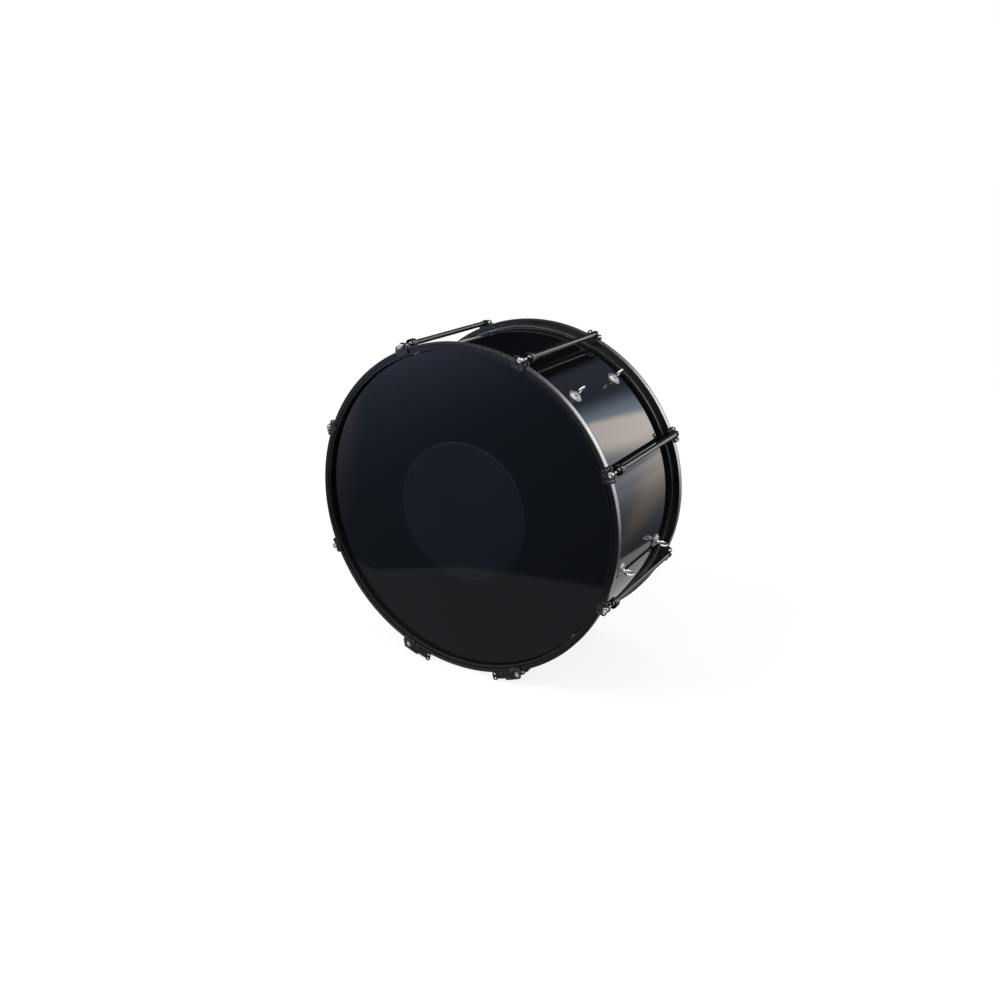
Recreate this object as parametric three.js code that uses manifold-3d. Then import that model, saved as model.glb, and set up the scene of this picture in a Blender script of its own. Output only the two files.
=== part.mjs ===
// A marching bass drum: a shell with two tensioned heads, held by two counter hoops and eight
// tension lines, with four eye screws for the carrier and two pairs of feet.
// Millimetres, +Z up. The drum's axis lies along Y and the front head faces -Y. The origin is on
// the floor, under the middle of the whole part.
import * as THREE from 'three';
import { mergeVertices } from 'three/addons/utils/BufferGeometryUtils.js';
import Module from 'manifold-3d';

const wasm = await Module();
wasm.setup();

// Clearances and cutting
const seatGap = 0.3;
const threadGap = 0.3;
const cutOverrun = 4;

// Facets
const ringSides = 48;
const tubeSides = 12;
const headSides = 10;
const discSides = 12;
const holeSides = 8;
const wireSides = 6;
const socketSides = 6;
const earBoreSteps = 5;
const earTopSteps = 2;
const loopSteps = 4;
const notchSteps = 4;
const sweepSteps = 2;

// Shell
const shellOuterRadius = 327;
const shellWall = 5;
const shellLength = 304.8;
const edgeRound = 1;
const edgeSlope = 4;

// Heads: the film lies over the shell's edge and runs down into the flesh hoop
const filmThickness = 0.5;
const collarLap = 8.7;
const patchRadius = 144;
const patchThickness = 0.5;

// Flesh hoops
const fleshHoopWidth = 3.9;
const fleshHoopHeight = 9.2;

// Counter hoops: a bead with a groove in its end face, and a skirt over the flesh hoop
const hoopProud = 11.1;
const beadHeight = 14.5;
const beadWidth = 14.7;
const beadChamfer = 1.2;
const beadInset = 0.5;
const skirtWall = 2.2;
const skirtHeight = 19;
const grooveLand = 3;
const grooveWidth = 3;
const grooveDepth = 3;

// Tension lines
const lineCount = 8;
const firstLineDeg = 67.5;
const keyHeadRadius = 6.1;
const keyHeadHeight = 6;
const keyHeadChamfer = 0.6;
const keyHeadGap = 0.4;
const keySocketRadius = 2.9;
const keySocketDepth = 3.6;
const keyShankRadius = 3;
const keyShankLength = 60;
const anchorShankLength = 34;
const tubeRadius = 5.3;
const cupRadius = 9.7;
const cupWall = 1.4;
const cupLength = 14;
const cupDepth = 8;
const cupTaper = 4;
const cupSetback = 30.5;
const bossRadius = 4.6;
const bossHeight = 6;
const bossRound = 1.4;

// Claws
const clawPlateThickness = 3;
const clawPlateHalfWidth = 14;
const clawPlateCorner = 4;
const loopRadius = 7;
const loopLength = 5;
const saddleWall = 2;
const saddleHalfWidth = 16.4;
const earRadius = 5;
const earBoreRadius = 3;
const earOffset = 11.5;
const earSlot = 1.8;
const earSlotDeg = 45;
const earTopDeg = -60;
const loopNeckDeg = 75;
const toeThickness = 1.5;
const toeReach = 2.6;
const toeHalfWidth = 11;
const keyHeadClearance = 0.5;
const bridgeInset = 0.4;

// Foot claws: a plate in front of the hoop that runs on towards the bottom of the drum
const footSweepDeg = 8.8;
const footOverlap = 3;
const footDepth = 15;
const footHeelStep = 3.5;
const footHeelDeg = 4.6;
const footHeelBackDeg = 0.9;
const footLobeRadius = 4.8;
const footLobeTuckShare = 0.87;
const footShoulderDeg = -50;
const footHoleRadius = 2.6;
const footHolePitch = 9.7;
const footFlatCut = 1.2;

// Eye screws, with a rosette under each and a threaded plate behind each pair
const eyeSpacing = 176;
const eyeUpperDeg = 49.9;
const eyeLowerDeg = -13.8;
const eyeWireRadius = 2.2;
const eyeLoopRadius = 8.5;
const eyeShankRadius = 3;
const eyeNeckRadius = 4.2;
const eyeNeckHeight = 1.5;
const eyeEndProud = 6;
const rosetteRadius = 14;
const rosetteHeight = 5.6;
const rosetteRim = 1.6;
const rosetteTopRadius = 7.5;
const eyePlateWidth = 24;
const eyePlateThickness = 3;
const eyePlateMargin = 16;

// Vent grommet
const ventDeg = 180;
const ventBoreRadius = 5;
const ventWall = 1.4;
const ventFlangeRadius = 9.5;
const ventFlangeThickness = 1.2;
const ventCoreRadius = ventBoreRadius + ventWall;

// Sizes along the axis, measured from the drum's middle towards either end
const edgeReach = shellLength / 2;
const filmInner = edgeReach + seatGap;
const filmOuter = filmInner + filmThickness;
const hoopReach = edgeReach + hoopProud;
const beadBack = hoopReach - beadHeight;
const skirtBack = beadBack - skirtHeight;
const fleshHoopTop = beadBack - seatGap;
const fleshHoopBottom = fleshHoopTop - fleshHoopHeight;
const collarBottom = fleshHoopTop - collarLap;
const clawPlateBack = hoopReach + seatGap;
const clawPlateFront = clawPlateBack + clawPlateThickness;
const keyHeadBack = clawPlateFront - keyHeadHeight;
const loopFront = keyHeadBack - seatGap;
const loopBack = loopFront - loopLength;
const tubeRear = loopBack - seatGap;
const cupFront = hoopReach - cupSetback;
const cupBack = cupFront - cupLength;

// Sizes across the axis
const shellInnerRadius = shellOuterRadius - shellWall;
const collarInnerRadius = shellOuterRadius + seatGap;
const collarOuterRadius = collarInnerRadius + filmThickness;
const fleshHoopInnerRadius = collarOuterRadius + seatGap;
const fleshHoopOuterRadius = fleshHoopInnerRadius + fleshHoopWidth;
const skirtInnerRadius = fleshHoopOuterRadius + seatGap;
const skirtOuterRadius = skirtInnerRadius + skirtWall;
const beadInnerRadius = collarOuterRadius + beadInset;
const beadOuterRadius = beadInnerRadius + beadWidth;
const grooveInnerRadius = beadInnerRadius + grooveLand;
const grooveOuterRadius = grooveInnerRadius + grooveWidth;
const lineCircleRadius = beadOuterRadius + keyHeadGap + keyHeadRadius;
const saddleInnerRadius = beadOuterRadius + seatGap;
const saddleOuterRadius = saddleInnerRadius + saddleWall;
const clawPlateInnerRadius = grooveInnerRadius + (grooveWidth - toeThickness) / 2;
const footInnerRadius = beadOuterRadius - footOverlap;
const footOuterRadius = footInnerRadius + footDepth;
const footHeelRadius = footOuterRadius + footHeelStep;
const footHoleInnerRadius = footInnerRadius + footLobeRadius;
const footHoleOuterRadius = footHoleInnerRadius + footHolePitch;
const boltHoleRadius = keyShankRadius + threadGap;
const eyeHoleRadius = eyeShankRadius + threadGap;

// Directions: an angle is measured round the drum's axis from +X towards +Z
const turn = 2 * Math.PI;
const footLineDeg = firstLineDeg - 3 * 360 / lineCount;
const floorDeg = footLineDeg + 90;
const downInLine = new THREE.Vector2(
  Math.sin(THREE.MathUtils.degToRad(floorDeg)),
  Math.cos(THREE.MathUtils.degToRad(floorDeg)),
);
const footLobe = aroundAxis(footHoleOuterRadius, footSweepDeg);
const floorDrop = lineCircleRadius * downInLine.y + footLobe.dot(downInLine)
  + footLobeRadius - footFlatCut;
const eyeTopRadius = shellOuterRadius + seatGap + rosetteHeight + seatGap + eyeNeckHeight
  + 2 * (eyeLoopRadius + eyeWireRadius);
const eyeLoopCentreRadius = eyeTopRadius - eyeLoopRadius - eyeWireRadius;
const eyeReach = eyeTopRadius * Math.cos(THREE.MathUtils.degToRad(eyeLowerDeg));

// The point at a radius and an angle off a tension line, measured from that line across and out.
function aroundAxis(radius, degrees) {
  const angle = THREE.MathUtils.degToRad(degrees);
  return new THREE.Vector2(radius * Math.sin(angle), radius * Math.cos(angle) - lineCircleRadius);
}

// A closed manifold solid from a three.js geometry, and the geometry back from a solid.
function solidOf(geometry) {
  const bare = geometry.clone();
  bare.deleteAttribute('normal');
  bare.deleteAttribute('uv');
  const welded = mergeVertices(bare);
  return new wasm.Manifold(new wasm.Mesh({
    numProp: 3,
    vertProperties: new Float32Array(welded.attributes.position.array),
    triVerts: new Uint32Array(welded.index.array),
  }));
}

function geometryOf(solid) {
  const mesh = solid.getMesh();
  const geometry = new THREE.BufferGeometry();
  geometry.setAttribute('position', new THREE.BufferAttribute(mesh.vertProperties, mesh.numProp));
  geometry.setIndex(new THREE.BufferAttribute(mesh.triVerts, 1));
  geometry.computeVertexNormals();
  return geometry;
}

// A profile of [radius, height] points, turned round Y. Counter-clockwise profiles face outwards.
function turned(profile, sides) {
  const points = profile.map(([radius, height]) => new THREE.Vector2(radius, height));
  if (profile[0][0] > 0) points.push(points[0].clone());
  return new THREE.LatheGeometry(points, sides);
}

// The same, standing along Z.
function turnedUp(profile, sides) {
  return turned(profile, sides).rotateX(Math.PI / 2);
}

// A plain rod along Z between two heights.
function rod(radius, low, high, sides) {
  const length = high - low;
  return new THREE.CylinderGeometry(radius, radius, length, sides)
    .rotateX(Math.PI / 2)
    .translate(0, 0, low + length / 2);
}

// Materials: one maker per finish, as every mesh has its own
const finishes = {
  lacquer: { color: 0x0b0c0f, roughness: 0.08, metalness: 0 },
  film: { color: 0x14161b, roughness: 0.22, metalness: 0 },
  patch: { color: 0x23262c, roughness: 0.35, metalness: 0 },
  hoop: { color: 0x0c0d0f, roughness: 0.25, metalness: 0.6 },
  alloy: { color: 0x9a9da1, roughness: 0.4, metalness: 1 },
  clawBlack: { color: 0x0d0e10, roughness: 0.3, metalness: 0.4 },
  tubeBlack: { color: 0x0a0a0b, roughness: 0.18, metalness: 0.4 },
  steel: { color: 0xc9c9c4, roughness: 0.22, metalness: 1 },
};

const drum = new THREE.Group();
drum.position.set((beadOuterRadius - eyeReach) / 2, 0, floorDrop);

function addMesh(name, geometry, finish) {
  const mesh = new THREE.Mesh(geometry, new THREE.MeshStandardMaterial(finishes[finish]));
  mesh.name = name;
  return mesh;
}

// Turns a mesh built along Z so that Z points out of the given end (-1 front, 1 rear) and Y
// points away from the drum's axis, and puts it on the tension line at that angle.
function placeOnLine(mesh, degrees, end) {
  const angle = THREE.MathUtils.degToRad(degrees);
  const out = new THREE.Vector3(Math.cos(angle), 0, Math.sin(angle));
  const along = new THREE.Vector3(0, end, 0);
  const across = new THREE.Vector3().crossVectors(out, along);
  mesh.quaternion.setFromRotationMatrix(new THREE.Matrix4().makeBasis(across, out, along));
  mesh.position.copy(out.multiplyScalar(lineCircleRadius));
  drum.add(mesh);
}

// Turns a mesh built along Z so that Z points away from the drum's axis at that angle, with X
// along the drum's axis, and moves it along that axis.
function placeOnShell(mesh, degrees, alongAxis) {
  const angle = THREE.MathUtils.degToRad(degrees);
  const out = new THREE.Vector3(Math.cos(angle), 0, Math.sin(angle));
  const along = new THREE.Vector3(0, 1, 0);
  const across = new THREE.Vector3().crossVectors(out, along);
  mesh.quaternion.setFromRotationMatrix(new THREE.Matrix4().makeBasis(along, across, out));
  mesh.position.set(0, alongAxis, 0);
  drum.add(mesh);
}

// A rod to cut a bore with: its facets lie outside the radius.
function cutter(radius, low, high, sides) {
  return rod(radius / Math.cos(turn / sides / 2), low, high, sides);
}

// A hole through the shell's wall, as a rod to cut with.
function wallHole(radius, degrees, alongAxis, sides) {
  const angle = THREE.MathUtils.degToRad(degrees);
  const low = shellInnerRadius - cutOverrun;
  const high = shellOuterRadius + cutOverrun;
  return solidOf(cutter(radius, low, high, sides)
    .rotateY(Math.PI / 2 - angle)
    .translate(0, alongAxis, 0));
}

// The shell, with a bearing edge cut at both ends and its holes.
function makeShell() {
  const innerEnd = edgeReach - edgeSlope;
  const outerEnd = edgeReach - edgeRound;
  const crest = shellOuterRadius - edgeRound;
  const profile = [
    [shellInnerRadius, -innerEnd],
    [crest, -edgeReach],
    [shellOuterRadius, -outerEnd],
    [shellOuterRadius, outerEnd],
    [crest, edgeReach],
    [shellInnerRadius, innerEnd],
  ];
  let shell = solidOf(turned(profile, ringSides));
  for (const degrees of [eyeUpperDeg, eyeLowerDeg]) {
    for (const end of [-1, 1]) {
      shell = shell.subtract(wallHole(eyeHoleRadius, degrees, end * eyeSpacing / 2, tubeSides));
    }
  }
  shell = shell.subtract(wallHole(ventCoreRadius + seatGap, ventDeg, 0, headSides));
  drum.add(addMesh('shell', geometryOf(shell), 'lacquer'));
}

// A ring or disc at one end of the drum. The profile gives distances from the drum's middle.
function addEndPiece(name, profile, end, finish) {
  const mirrored = profile.map(([radius, reach]) => [radius, end * reach]);
  if (end < 0) mirrored.reverse();
  drum.add(addMesh(name, geometryOf(solidOf(turned(mirrored, ringSides))), finish));
}

const headProfile = [
  [0, filmInner],
  [collarInnerRadius, filmInner],
  [collarInnerRadius, collarBottom],
  [collarOuterRadius, collarBottom],
  [collarOuterRadius, filmOuter - edgeRound],
  [collarOuterRadius - edgeRound, filmOuter],
  [0, filmOuter],
];

const patchProfile = [
  [0, filmOuter + seatGap],
  [patchRadius, filmOuter + seatGap],
  [patchRadius, filmOuter + seatGap + patchThickness],
  [0, filmOuter + seatGap + patchThickness],
];

const fleshHoopProfile = [
  [fleshHoopInnerRadius, fleshHoopBottom],
  [fleshHoopOuterRadius, fleshHoopBottom],
  [fleshHoopOuterRadius, fleshHoopTop],
  [fleshHoopInnerRadius, fleshHoopTop],
];

const hoopProfile = [
  [skirtInnerRadius, skirtBack],
  [skirtOuterRadius, skirtBack],
  [skirtOuterRadius, beadBack],
  [beadOuterRadius, beadBack],
  [beadOuterRadius, hoopReach - beadChamfer],
  [beadOuterRadius - beadChamfer, hoopReach],
  [grooveOuterRadius, hoopReach],
  [grooveOuterRadius, hoopReach - grooveDepth],
  [grooveInnerRadius, hoopReach - grooveDepth],
  [grooveInnerRadius, hoopReach],
  [beadInnerRadius, hoopReach],
  [beadInnerRadius, beadBack],
  [skirtInnerRadius, beadBack],
];

// The tube with its cup and boss, in a line's own frame with the front at the top.
function makeTube() {
  const floor = cupFront - cupDepth;
  const bossTop = floor + bossHeight;
  const profile = [
    [boltHoleRadius, -tubeRear],
    [tubeRadius, -tubeRear],
    [tubeRadius, cupBack - cupTaper],
    [cupRadius, cupBack],
    [cupRadius, cupFront],
    [cupRadius - cupWall, cupFront],
    [cupRadius - cupWall, floor],
    [bossRadius, floor],
    [bossRadius, bossTop - bossRound],
    [bossRadius - bossRound, bossTop],
    [boltHoleRadius, bossTop],
  ];
  return solidOf(turnedUp(profile, tubeSides));
}

// A screw whose head stands between the claw's loop and the claw's end face.
function makeScrew(shankLength) {
  const profile = [
    [0, keyHeadBack - shankLength],
    [keyShankRadius, keyHeadBack - shankLength],
    [keyShankRadius, keyHeadBack],
    [keyHeadRadius, keyHeadBack],
    [keyHeadRadius, clawPlateFront - keyHeadChamfer],
    [keyHeadRadius - keyHeadChamfer, clawPlateFront],
    [0, clawPlateFront],
  ];
  const socketFloor = clawPlateFront - keySocketDepth;
  const socketTop = clawPlateFront + cutOverrun;
  const socket = solidOf(rod(keySocketRadius, socketFloor, socketTop, socketSides));
  return solidOf(turnedUp(profile, headSides)).subtract(socket);
}

// Points of an arc round a centre. Angles are in degrees, clockwise from the outward direction.
function arc(centre, radius, fromDeg, toDeg, steps) {
  const points = [];
  for (let step = 0; step <= steps; step += 1) {
    const angle = THREE.MathUtils.degToRad(fromDeg + (toDeg - fromDeg) * step / steps);
    points.push(new THREE.Vector2(
      centre.x + radius * Math.sin(angle),
      centre.y + radius * Math.cos(angle),
    ));
  }
  return points;
}

// A flat outline with round holes, made thick along Z between two heights. The facets of a hole
// lie outside its radius.
function slab(outline, low, high, holes = []) {
  const shape = new THREE.Shape(outline);
  for (const hole of holes) {
    const reach = hole.radius / Math.cos(turn / holeSides / 2);
    shape.holes.push(new THREE.Path(arc(hole.centre, reach, 0, 360, holeSides).slice(1)));
  }
  return new THREE.ExtrudeGeometry(shape, { depth: high - low, bevelEnabled: false })
    .translate(0, 0, low);
}

// The same outline for the right hand (1) or the left (-1).
function handed(points, hand) {
  if (hand > 0) return points;
  return points.map((point) => new THREE.Vector2(-point.x, point.y)).reverse();
}

// The angle that a half width spans at a radius, in degrees.
function spanDeg(halfWidth, radius) {
  return THREE.MathUtils.radToDeg(Math.asin(halfWidth / radius));
}

const lineAxis = new THREE.Vector2(0, 0);
const drumAxis = new THREE.Vector2(0, -lineCircleRadius);
const earHeight = saddleInnerRadius + earRadius - lineCircleRadius;

// One curled ear, from the saddle's end up its outer wall, in at the slot, round the bore and
// out again over its top.
function earOutline(hand) {
  const centre = new THREE.Vector2(earOffset, earHeight);
  const outerGap = spanDeg(earSlot / 2, earRadius);
  const innerGap = spanDeg(earSlot / 2, earBoreRadius);
  const boreEnd = earSlotDeg + 360 - innerGap;
  return handed([
    ...arc(centre, earRadius, 90, earSlotDeg + outerGap, 1),
    ...arc(centre, earBoreRadius, earSlotDeg + innerGap, boreEnd, earBoreSteps),
    ...arc(centre, earRadius, earSlotDeg - outerGap, earTopDeg, earTopSteps),
  ], hand);
}

// The claw's body: a saddle on the bead with the loop for the screw between its two ears.
function clawBodyOutline() {
  const saddleSpan = spanDeg(saddleHalfWidth, saddleInnerRadius);
  return [
    ...arc(drumAxis, saddleInnerRadius, -saddleSpan, saddleSpan, sweepSteps),
    ...earOutline(1),
    ...arc(lineAxis, loopRadius, loopNeckDeg, -loopNeckDeg, loopSteps),
    ...earOutline(-1),
  ];
}

// The plate that stands in front of the hoop's end face, with its lower corners cut and a notch
// round the screw's head.
function clawPlateOutline() {
  const bottom = clawPlateInnerRadius - lineCircleRadius;
  const top = saddleOuterRadius - lineCircleRadius;
  const foot = clawPlateHalfWidth - clawPlateCorner;
  const notch = keyHeadRadius + keyHeadClearance;
  const notchDeg = THREE.MathUtils.radToDeg(Math.acos(top / notch));
  return [
    new THREE.Vector2(-foot, bottom),
    new THREE.Vector2(foot, bottom),
    new THREE.Vector2(clawPlateHalfWidth, bottom + clawPlateCorner),
    new THREE.Vector2(clawPlateHalfWidth, top),
    ...arc(lineAxis, notch, notchDeg, 360 - notchDeg, notchSteps),
    new THREE.Vector2(-clawPlateHalfWidth, top),
    new THREE.Vector2(-clawPlateHalfWidth, bottom + clawPlateCorner),
  ];
}

// A claw with the given plate: body, two bridges over the bead's corner, and the plate with the
// toe that sits in the hoop's groove.
function makeClaw(plate) {
  const bolt = { centre: lineAxis, radius: boltHoleRadius };
  const toeLength = toeReach + clawPlateThickness / 2;
  const toe = new THREE.BoxGeometry(2 * toeHalfWidth, toeThickness, toeLength)
    .translate(0, clawPlateInnerRadius + toeThickness / 2 - lineCircleRadius,
      clawPlateBack - toeReach + toeLength / 2);
  let claw = solidOf(slab(clawBodyOutline(), loopBack, loopFront, [bolt]))
    .add(plate)
    .add(solidOf(toe));
  const bridgeInner = keyHeadRadius + keyHeadClearance + bridgeInset;
  const bridgeWidth = clawPlateHalfWidth - bridgeInner;
  const bridgeLow = loopFront - loopLength / 2;
  const bridgeHigh = clawPlateBack + clawPlateThickness / 2;
  for (const hand of [-1, 1]) {
    const bridge = new THREE.BoxGeometry(bridgeWidth, saddleWall, bridgeHigh - bridgeLow)
      .translate(hand * (bridgeInner + bridgeWidth / 2),
        saddleInnerRadius + saddleWall / 2 - lineCircleRadius, (bridgeLow + bridgeHigh) / 2);
    claw = claw.add(solidOf(bridge));
  }
  return claw;
}

function makePlainClaw() {
  return makeClaw(solidOf(slab(clawPlateOutline(), clawPlateBack, clawPlateFront)));
}

// The foot's plate runs on from the line towards the drum's lowest point and ends in a lobe with
// two holes. The lobe's underside is flat and level where it meets the floor.
function footPlateOutline(hand) {
  const bottom = clawPlateInnerRadius - lineCircleRadius;
  const top = saddleOuterRadius - lineCircleRadius;
  const foot = clawPlateHalfWidth - clawPlateCorner;
  const lobeInner = aroundAxis(footHoleInnerRadius, footSweepDeg);
  const lobeOuter = aroundAxis(footHoleOuterRadius, footSweepDeg);
  const flatSpan = THREE.MathUtils.radToDeg(
    Math.acos((footLobeRadius - footFlatCut) / footLobeRadius),
  );
  const bladeStart = spanDeg(clawPlateHalfWidth, footInnerRadius);
  const side = footSweepDeg + 90;
  const bladeEnd = footSweepDeg - spanDeg(footLobeRadius * footLobeTuckShare, footInnerRadius);
  return handed([
    new THREE.Vector2(-foot, bottom),
    new THREE.Vector2(foot, bottom),
    new THREE.Vector2(clawPlateHalfWidth, bottom + clawPlateCorner),
    ...arc(drumAxis, footInnerRadius, bladeStart, bladeEnd, sweepSteps),
    ...arc(lobeInner, footLobeRadius, side + 90, side, sweepSteps),
    ...arc(lobeOuter, footLobeRadius, side, floorDeg + flatSpan, 1),
    ...arc(lobeOuter, footLobeRadius, floorDeg - flatSpan, footShoulderDeg, 1),
    ...arc(drumAxis, footOuterRadius, bladeEnd, footHeelDeg, sweepSteps),
    ...arc(drumAxis, footHeelRadius, footHeelDeg, -footHeelBackDeg, sweepSteps),
    new THREE.Vector2(-clawPlateHalfWidth, top),
    new THREE.Vector2(-clawPlateHalfWidth, bottom + clawPlateCorner),
  ], hand);
}

function makeFootClaw(hand) {
  const holes = [footHoleInnerRadius, footHoleOuterRadius].map((radius) => {
    const centre = aroundAxis(radius, footSweepDeg);
    centre.x *= hand;
    return { centre, radius: footHoleRadius };
  });
  holes.push({ centre: lineAxis, radius: keyHeadRadius + keyHeadClearance });
  return makeClaw(solidOf(slab(footPlateOutline(hand), clawPlateBack, clawPlateFront, holes)));
}

// The eye screw: a ring on a neck, and a shank through rosette, wall and plate.
function makeEyeScrew() {
  const seat = shellOuterRadius + seatGap + rosetteHeight + seatGap;
  const shankEnd = shellInnerRadius - eyePlateThickness - eyeEndProud;
  const wire = [];
  for (let step = 0; step < wireSides; step += 1) {
    const angle = turn * step / wireSides;
    wire.push([
      eyeLoopRadius + eyeWireRadius * Math.cos(angle),
      eyeWireRadius * Math.sin(angle),
    ]);
  }
  const ring = turned(wire, discSides).translate(0, 0, eyeLoopCentreRadius);
  const neckTop = seat + eyeNeckHeight + eyeWireRadius;
  const stem = [
    [0, shankEnd],
    [eyeShankRadius, shankEnd],
    [eyeShankRadius, seat],
    [eyeNeckRadius, seat],
    [eyeNeckRadius, seat + eyeNeckHeight / 2],
    [eyeShankRadius, neckTop],
    [0, neckTop],
  ];
  return solidOf(ring).add(solidOf(turnedUp(stem, tubeSides)));
}

function makeRosette() {
  const base = shellOuterRadius + seatGap;
  const profile = [
    [eyeHoleRadius, base],
    [rosetteRadius, base],
    [rosetteRadius, base + rosetteRim],
    [rosetteTopRadius, base + rosetteHeight],
    [eyeHoleRadius, base + rosetteHeight],
  ];
  return solidOf(turnedUp(profile, discSides));
}

// The plate's outer face lies against the inside of the wall along its two long edges.
function makeEyePlate() {
  const wallFlat = shellInnerRadius * Math.cos(turn / ringSides / 2) - seatGap;
  const outerFace = Math.sqrt(wallFlat ** 2 - (eyePlateWidth / 2) ** 2);
  const length = eyeSpacing + 2 * eyePlateMargin;
  let plate = solidOf(new THREE.BoxGeometry(length, eyePlateWidth, eyePlateThickness)
    .translate(0, 0, outerFace - eyePlateThickness / 2));
  const low = outerFace - eyePlateThickness - cutOverrun;
  const high = outerFace + cutOverrun;
  for (const end of [-1, 1]) {
    plate = plate.subtract(solidOf(cutter(eyeHoleRadius, low, high, tubeSides)
      .translate(end * eyeSpacing / 2, 0, 0)));
  }
  return plate;
}

function makeVent() {
  const outer = shellOuterRadius + seatGap;
  const inner = shellInnerRadius * Math.cos(turn / ringSides / 2) - seatGap;
  const profile = [
    [ventBoreRadius, inner - ventFlangeThickness],
    [ventFlangeRadius, inner - ventFlangeThickness],
    [ventFlangeRadius, inner],
    [ventCoreRadius, inner],
    [ventCoreRadius, outer],
    [ventFlangeRadius, outer],
    [ventFlangeRadius, outer + ventFlangeThickness],
    [ventBoreRadius, outer + ventFlangeThickness],
  ];
  return solidOf(turnedUp(profile, headSides));
}

makeShell();
for (const [word, end] of [['front', -1], ['rear', 1]]) {
  addEndPiece(`${word}_head`, headProfile, end, 'film');
  addEndPiece(`${word}_flesh_hoop`, fleshHoopProfile, end, 'alloy');
  addEndPiece(`${word}_hoop`, hoopProfile, end, 'hoop');
}
addEndPiece('head_patch', patchProfile, -1, 'patch');

const tubeGeometry = geometryOf(makeTube());
const keyScrewGeometry = geometryOf(makeScrew(keyShankLength));
const anchorScrewGeometry = geometryOf(makeScrew(anchorShankLength));
const clawGeometry = geometryOf(makePlainClaw());
const footGeometry = { 1: geometryOf(makeFootClaw(1)), '-1': geometryOf(makeFootClaw(-1)) };

// Lines are numbered clockwise as seen from the front, from the one at the upper right.
for (let index = 0; index < lineCount; index += 1) {
  const number = index + 1;
  const degrees = firstLineDeg - index * 360 / lineCount;
  const sideOfBottom = Math.sign(degrees + 90);
  const isFoot = Math.abs(degrees + 90) < 360 / lineCount;
  placeOnLine(addMesh(`tension_tube_${number}`, tubeGeometry, 'tubeBlack'), degrees, -1);
  placeOnLine(addMesh(`key_screw_${number}`, keyScrewGeometry, 'steel'), degrees, -1);
  placeOnLine(addMesh(`anchor_screw_${number}`, anchorScrewGeometry, 'steel'), degrees, 1);
  for (const [word, end] of [['front', -1], ['rear', 1]]) {
    const name = isFoot ? `${word}_foot_claw_${number}` : `${word}_claw_${number}`;
    const geometry = isFoot ? footGeometry[-end * sideOfBottom] : clawGeometry;
    placeOnLine(addMesh(name, geometry, 'clawBlack'), degrees, end);
  }
}

const eyeScrewGeometry = geometryOf(makeEyeScrew());
const rosetteGeometry = geometryOf(makeRosette());
const eyePlateGeometry = geometryOf(makeEyePlate());
for (const [row, degrees] of [['upper', eyeUpperDeg], ['lower', eyeLowerDeg]]) {
  placeOnShell(addMesh(`eye_plate_${row}`, eyePlateGeometry, 'alloy'), degrees, 0);
  for (const [word, end] of [['front', -1], ['rear', 1]]) {
    const alongAxis = end * eyeSpacing / 2;
    placeOnShell(addMesh(`eye_screw_${row}_${word}`, eyeScrewGeometry, 'steel'), degrees, alongAxis);
    placeOnShell(addMesh(`eye_rosette_${row}_${word}`, rosetteGeometry, 'steel'), degrees, alongAxis);
  }
}
placeOnShell(addMesh('vent_grommet', geometryOf(makeVent()), 'steel'), ventDeg, 0);

const part = new THREE.Group();
part.add(drum);

export default part;
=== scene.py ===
"""A marching bass drum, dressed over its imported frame: gloss shell, film heads, ribbed counter
hoops, eight tension lines with claws, feet, and eye screws for the carrier. Sizes are in metres."""
import logging
import math
from dataclasses import dataclass, field
from enum import Enum
from typing import Callable, ClassVar, Sequence

import bpy
from mathutils import Matrix, Vector


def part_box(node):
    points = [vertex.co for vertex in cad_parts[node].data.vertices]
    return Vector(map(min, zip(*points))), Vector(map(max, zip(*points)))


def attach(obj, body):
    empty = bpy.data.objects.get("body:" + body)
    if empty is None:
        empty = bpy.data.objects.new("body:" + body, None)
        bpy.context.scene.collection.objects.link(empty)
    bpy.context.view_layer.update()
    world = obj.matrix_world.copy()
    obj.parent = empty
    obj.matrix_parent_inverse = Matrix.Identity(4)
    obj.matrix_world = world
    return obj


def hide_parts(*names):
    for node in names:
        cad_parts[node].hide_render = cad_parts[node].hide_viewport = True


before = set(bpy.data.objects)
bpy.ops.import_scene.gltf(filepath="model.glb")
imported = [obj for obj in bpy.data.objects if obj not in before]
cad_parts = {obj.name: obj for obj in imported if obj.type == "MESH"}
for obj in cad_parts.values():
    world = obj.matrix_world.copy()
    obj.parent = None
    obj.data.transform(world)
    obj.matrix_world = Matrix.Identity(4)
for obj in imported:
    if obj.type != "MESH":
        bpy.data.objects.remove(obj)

LOG = logging.getLogger("marching_bass_drum")
MM = 0.001
Colour = tuple[float, float, float]
Spot = tuple[float, float, float]
Outline = list[tuple[float, float]]
Piece = bpy.types.Object
Ramp = tuple[float, ...]
ALONG = Vector((0, 1, 0))
UP = Vector((0, 0, 1))
RING_STEPS = 192


class End(Enum):
    """The drum's two ends, by the sign of Y."""

    FRONT = -1
    REAR = 1

    @property
    def word(self) -> str:
        """The end's name as the frame's nodes spell it."""
        return self.name.lower()


class Texture(Enum):
    """The fine relief that a finish has, as the scale, detail and roughness of its noise."""

    FLAT = (700.0, 2.0, 0.5)
    FILM = (3.5, 1.0, 0.5)
    TURNED = (900.0, 4.0, 0.65)
    CAST = (1400.0, 4.0, 0.6)
    BRUSHED = (2500.0, 3.0, 0.6)


def axis_of_drum() -> Vector:
    """The point of the drum's axis at its middle, from the shell's place in the frame.

    Returns:
        The point, in the row frame.
    """
    low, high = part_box("shell")
    return (Vector(low) + Vector(high)) / 2


AXIS = axis_of_drum()


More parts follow.
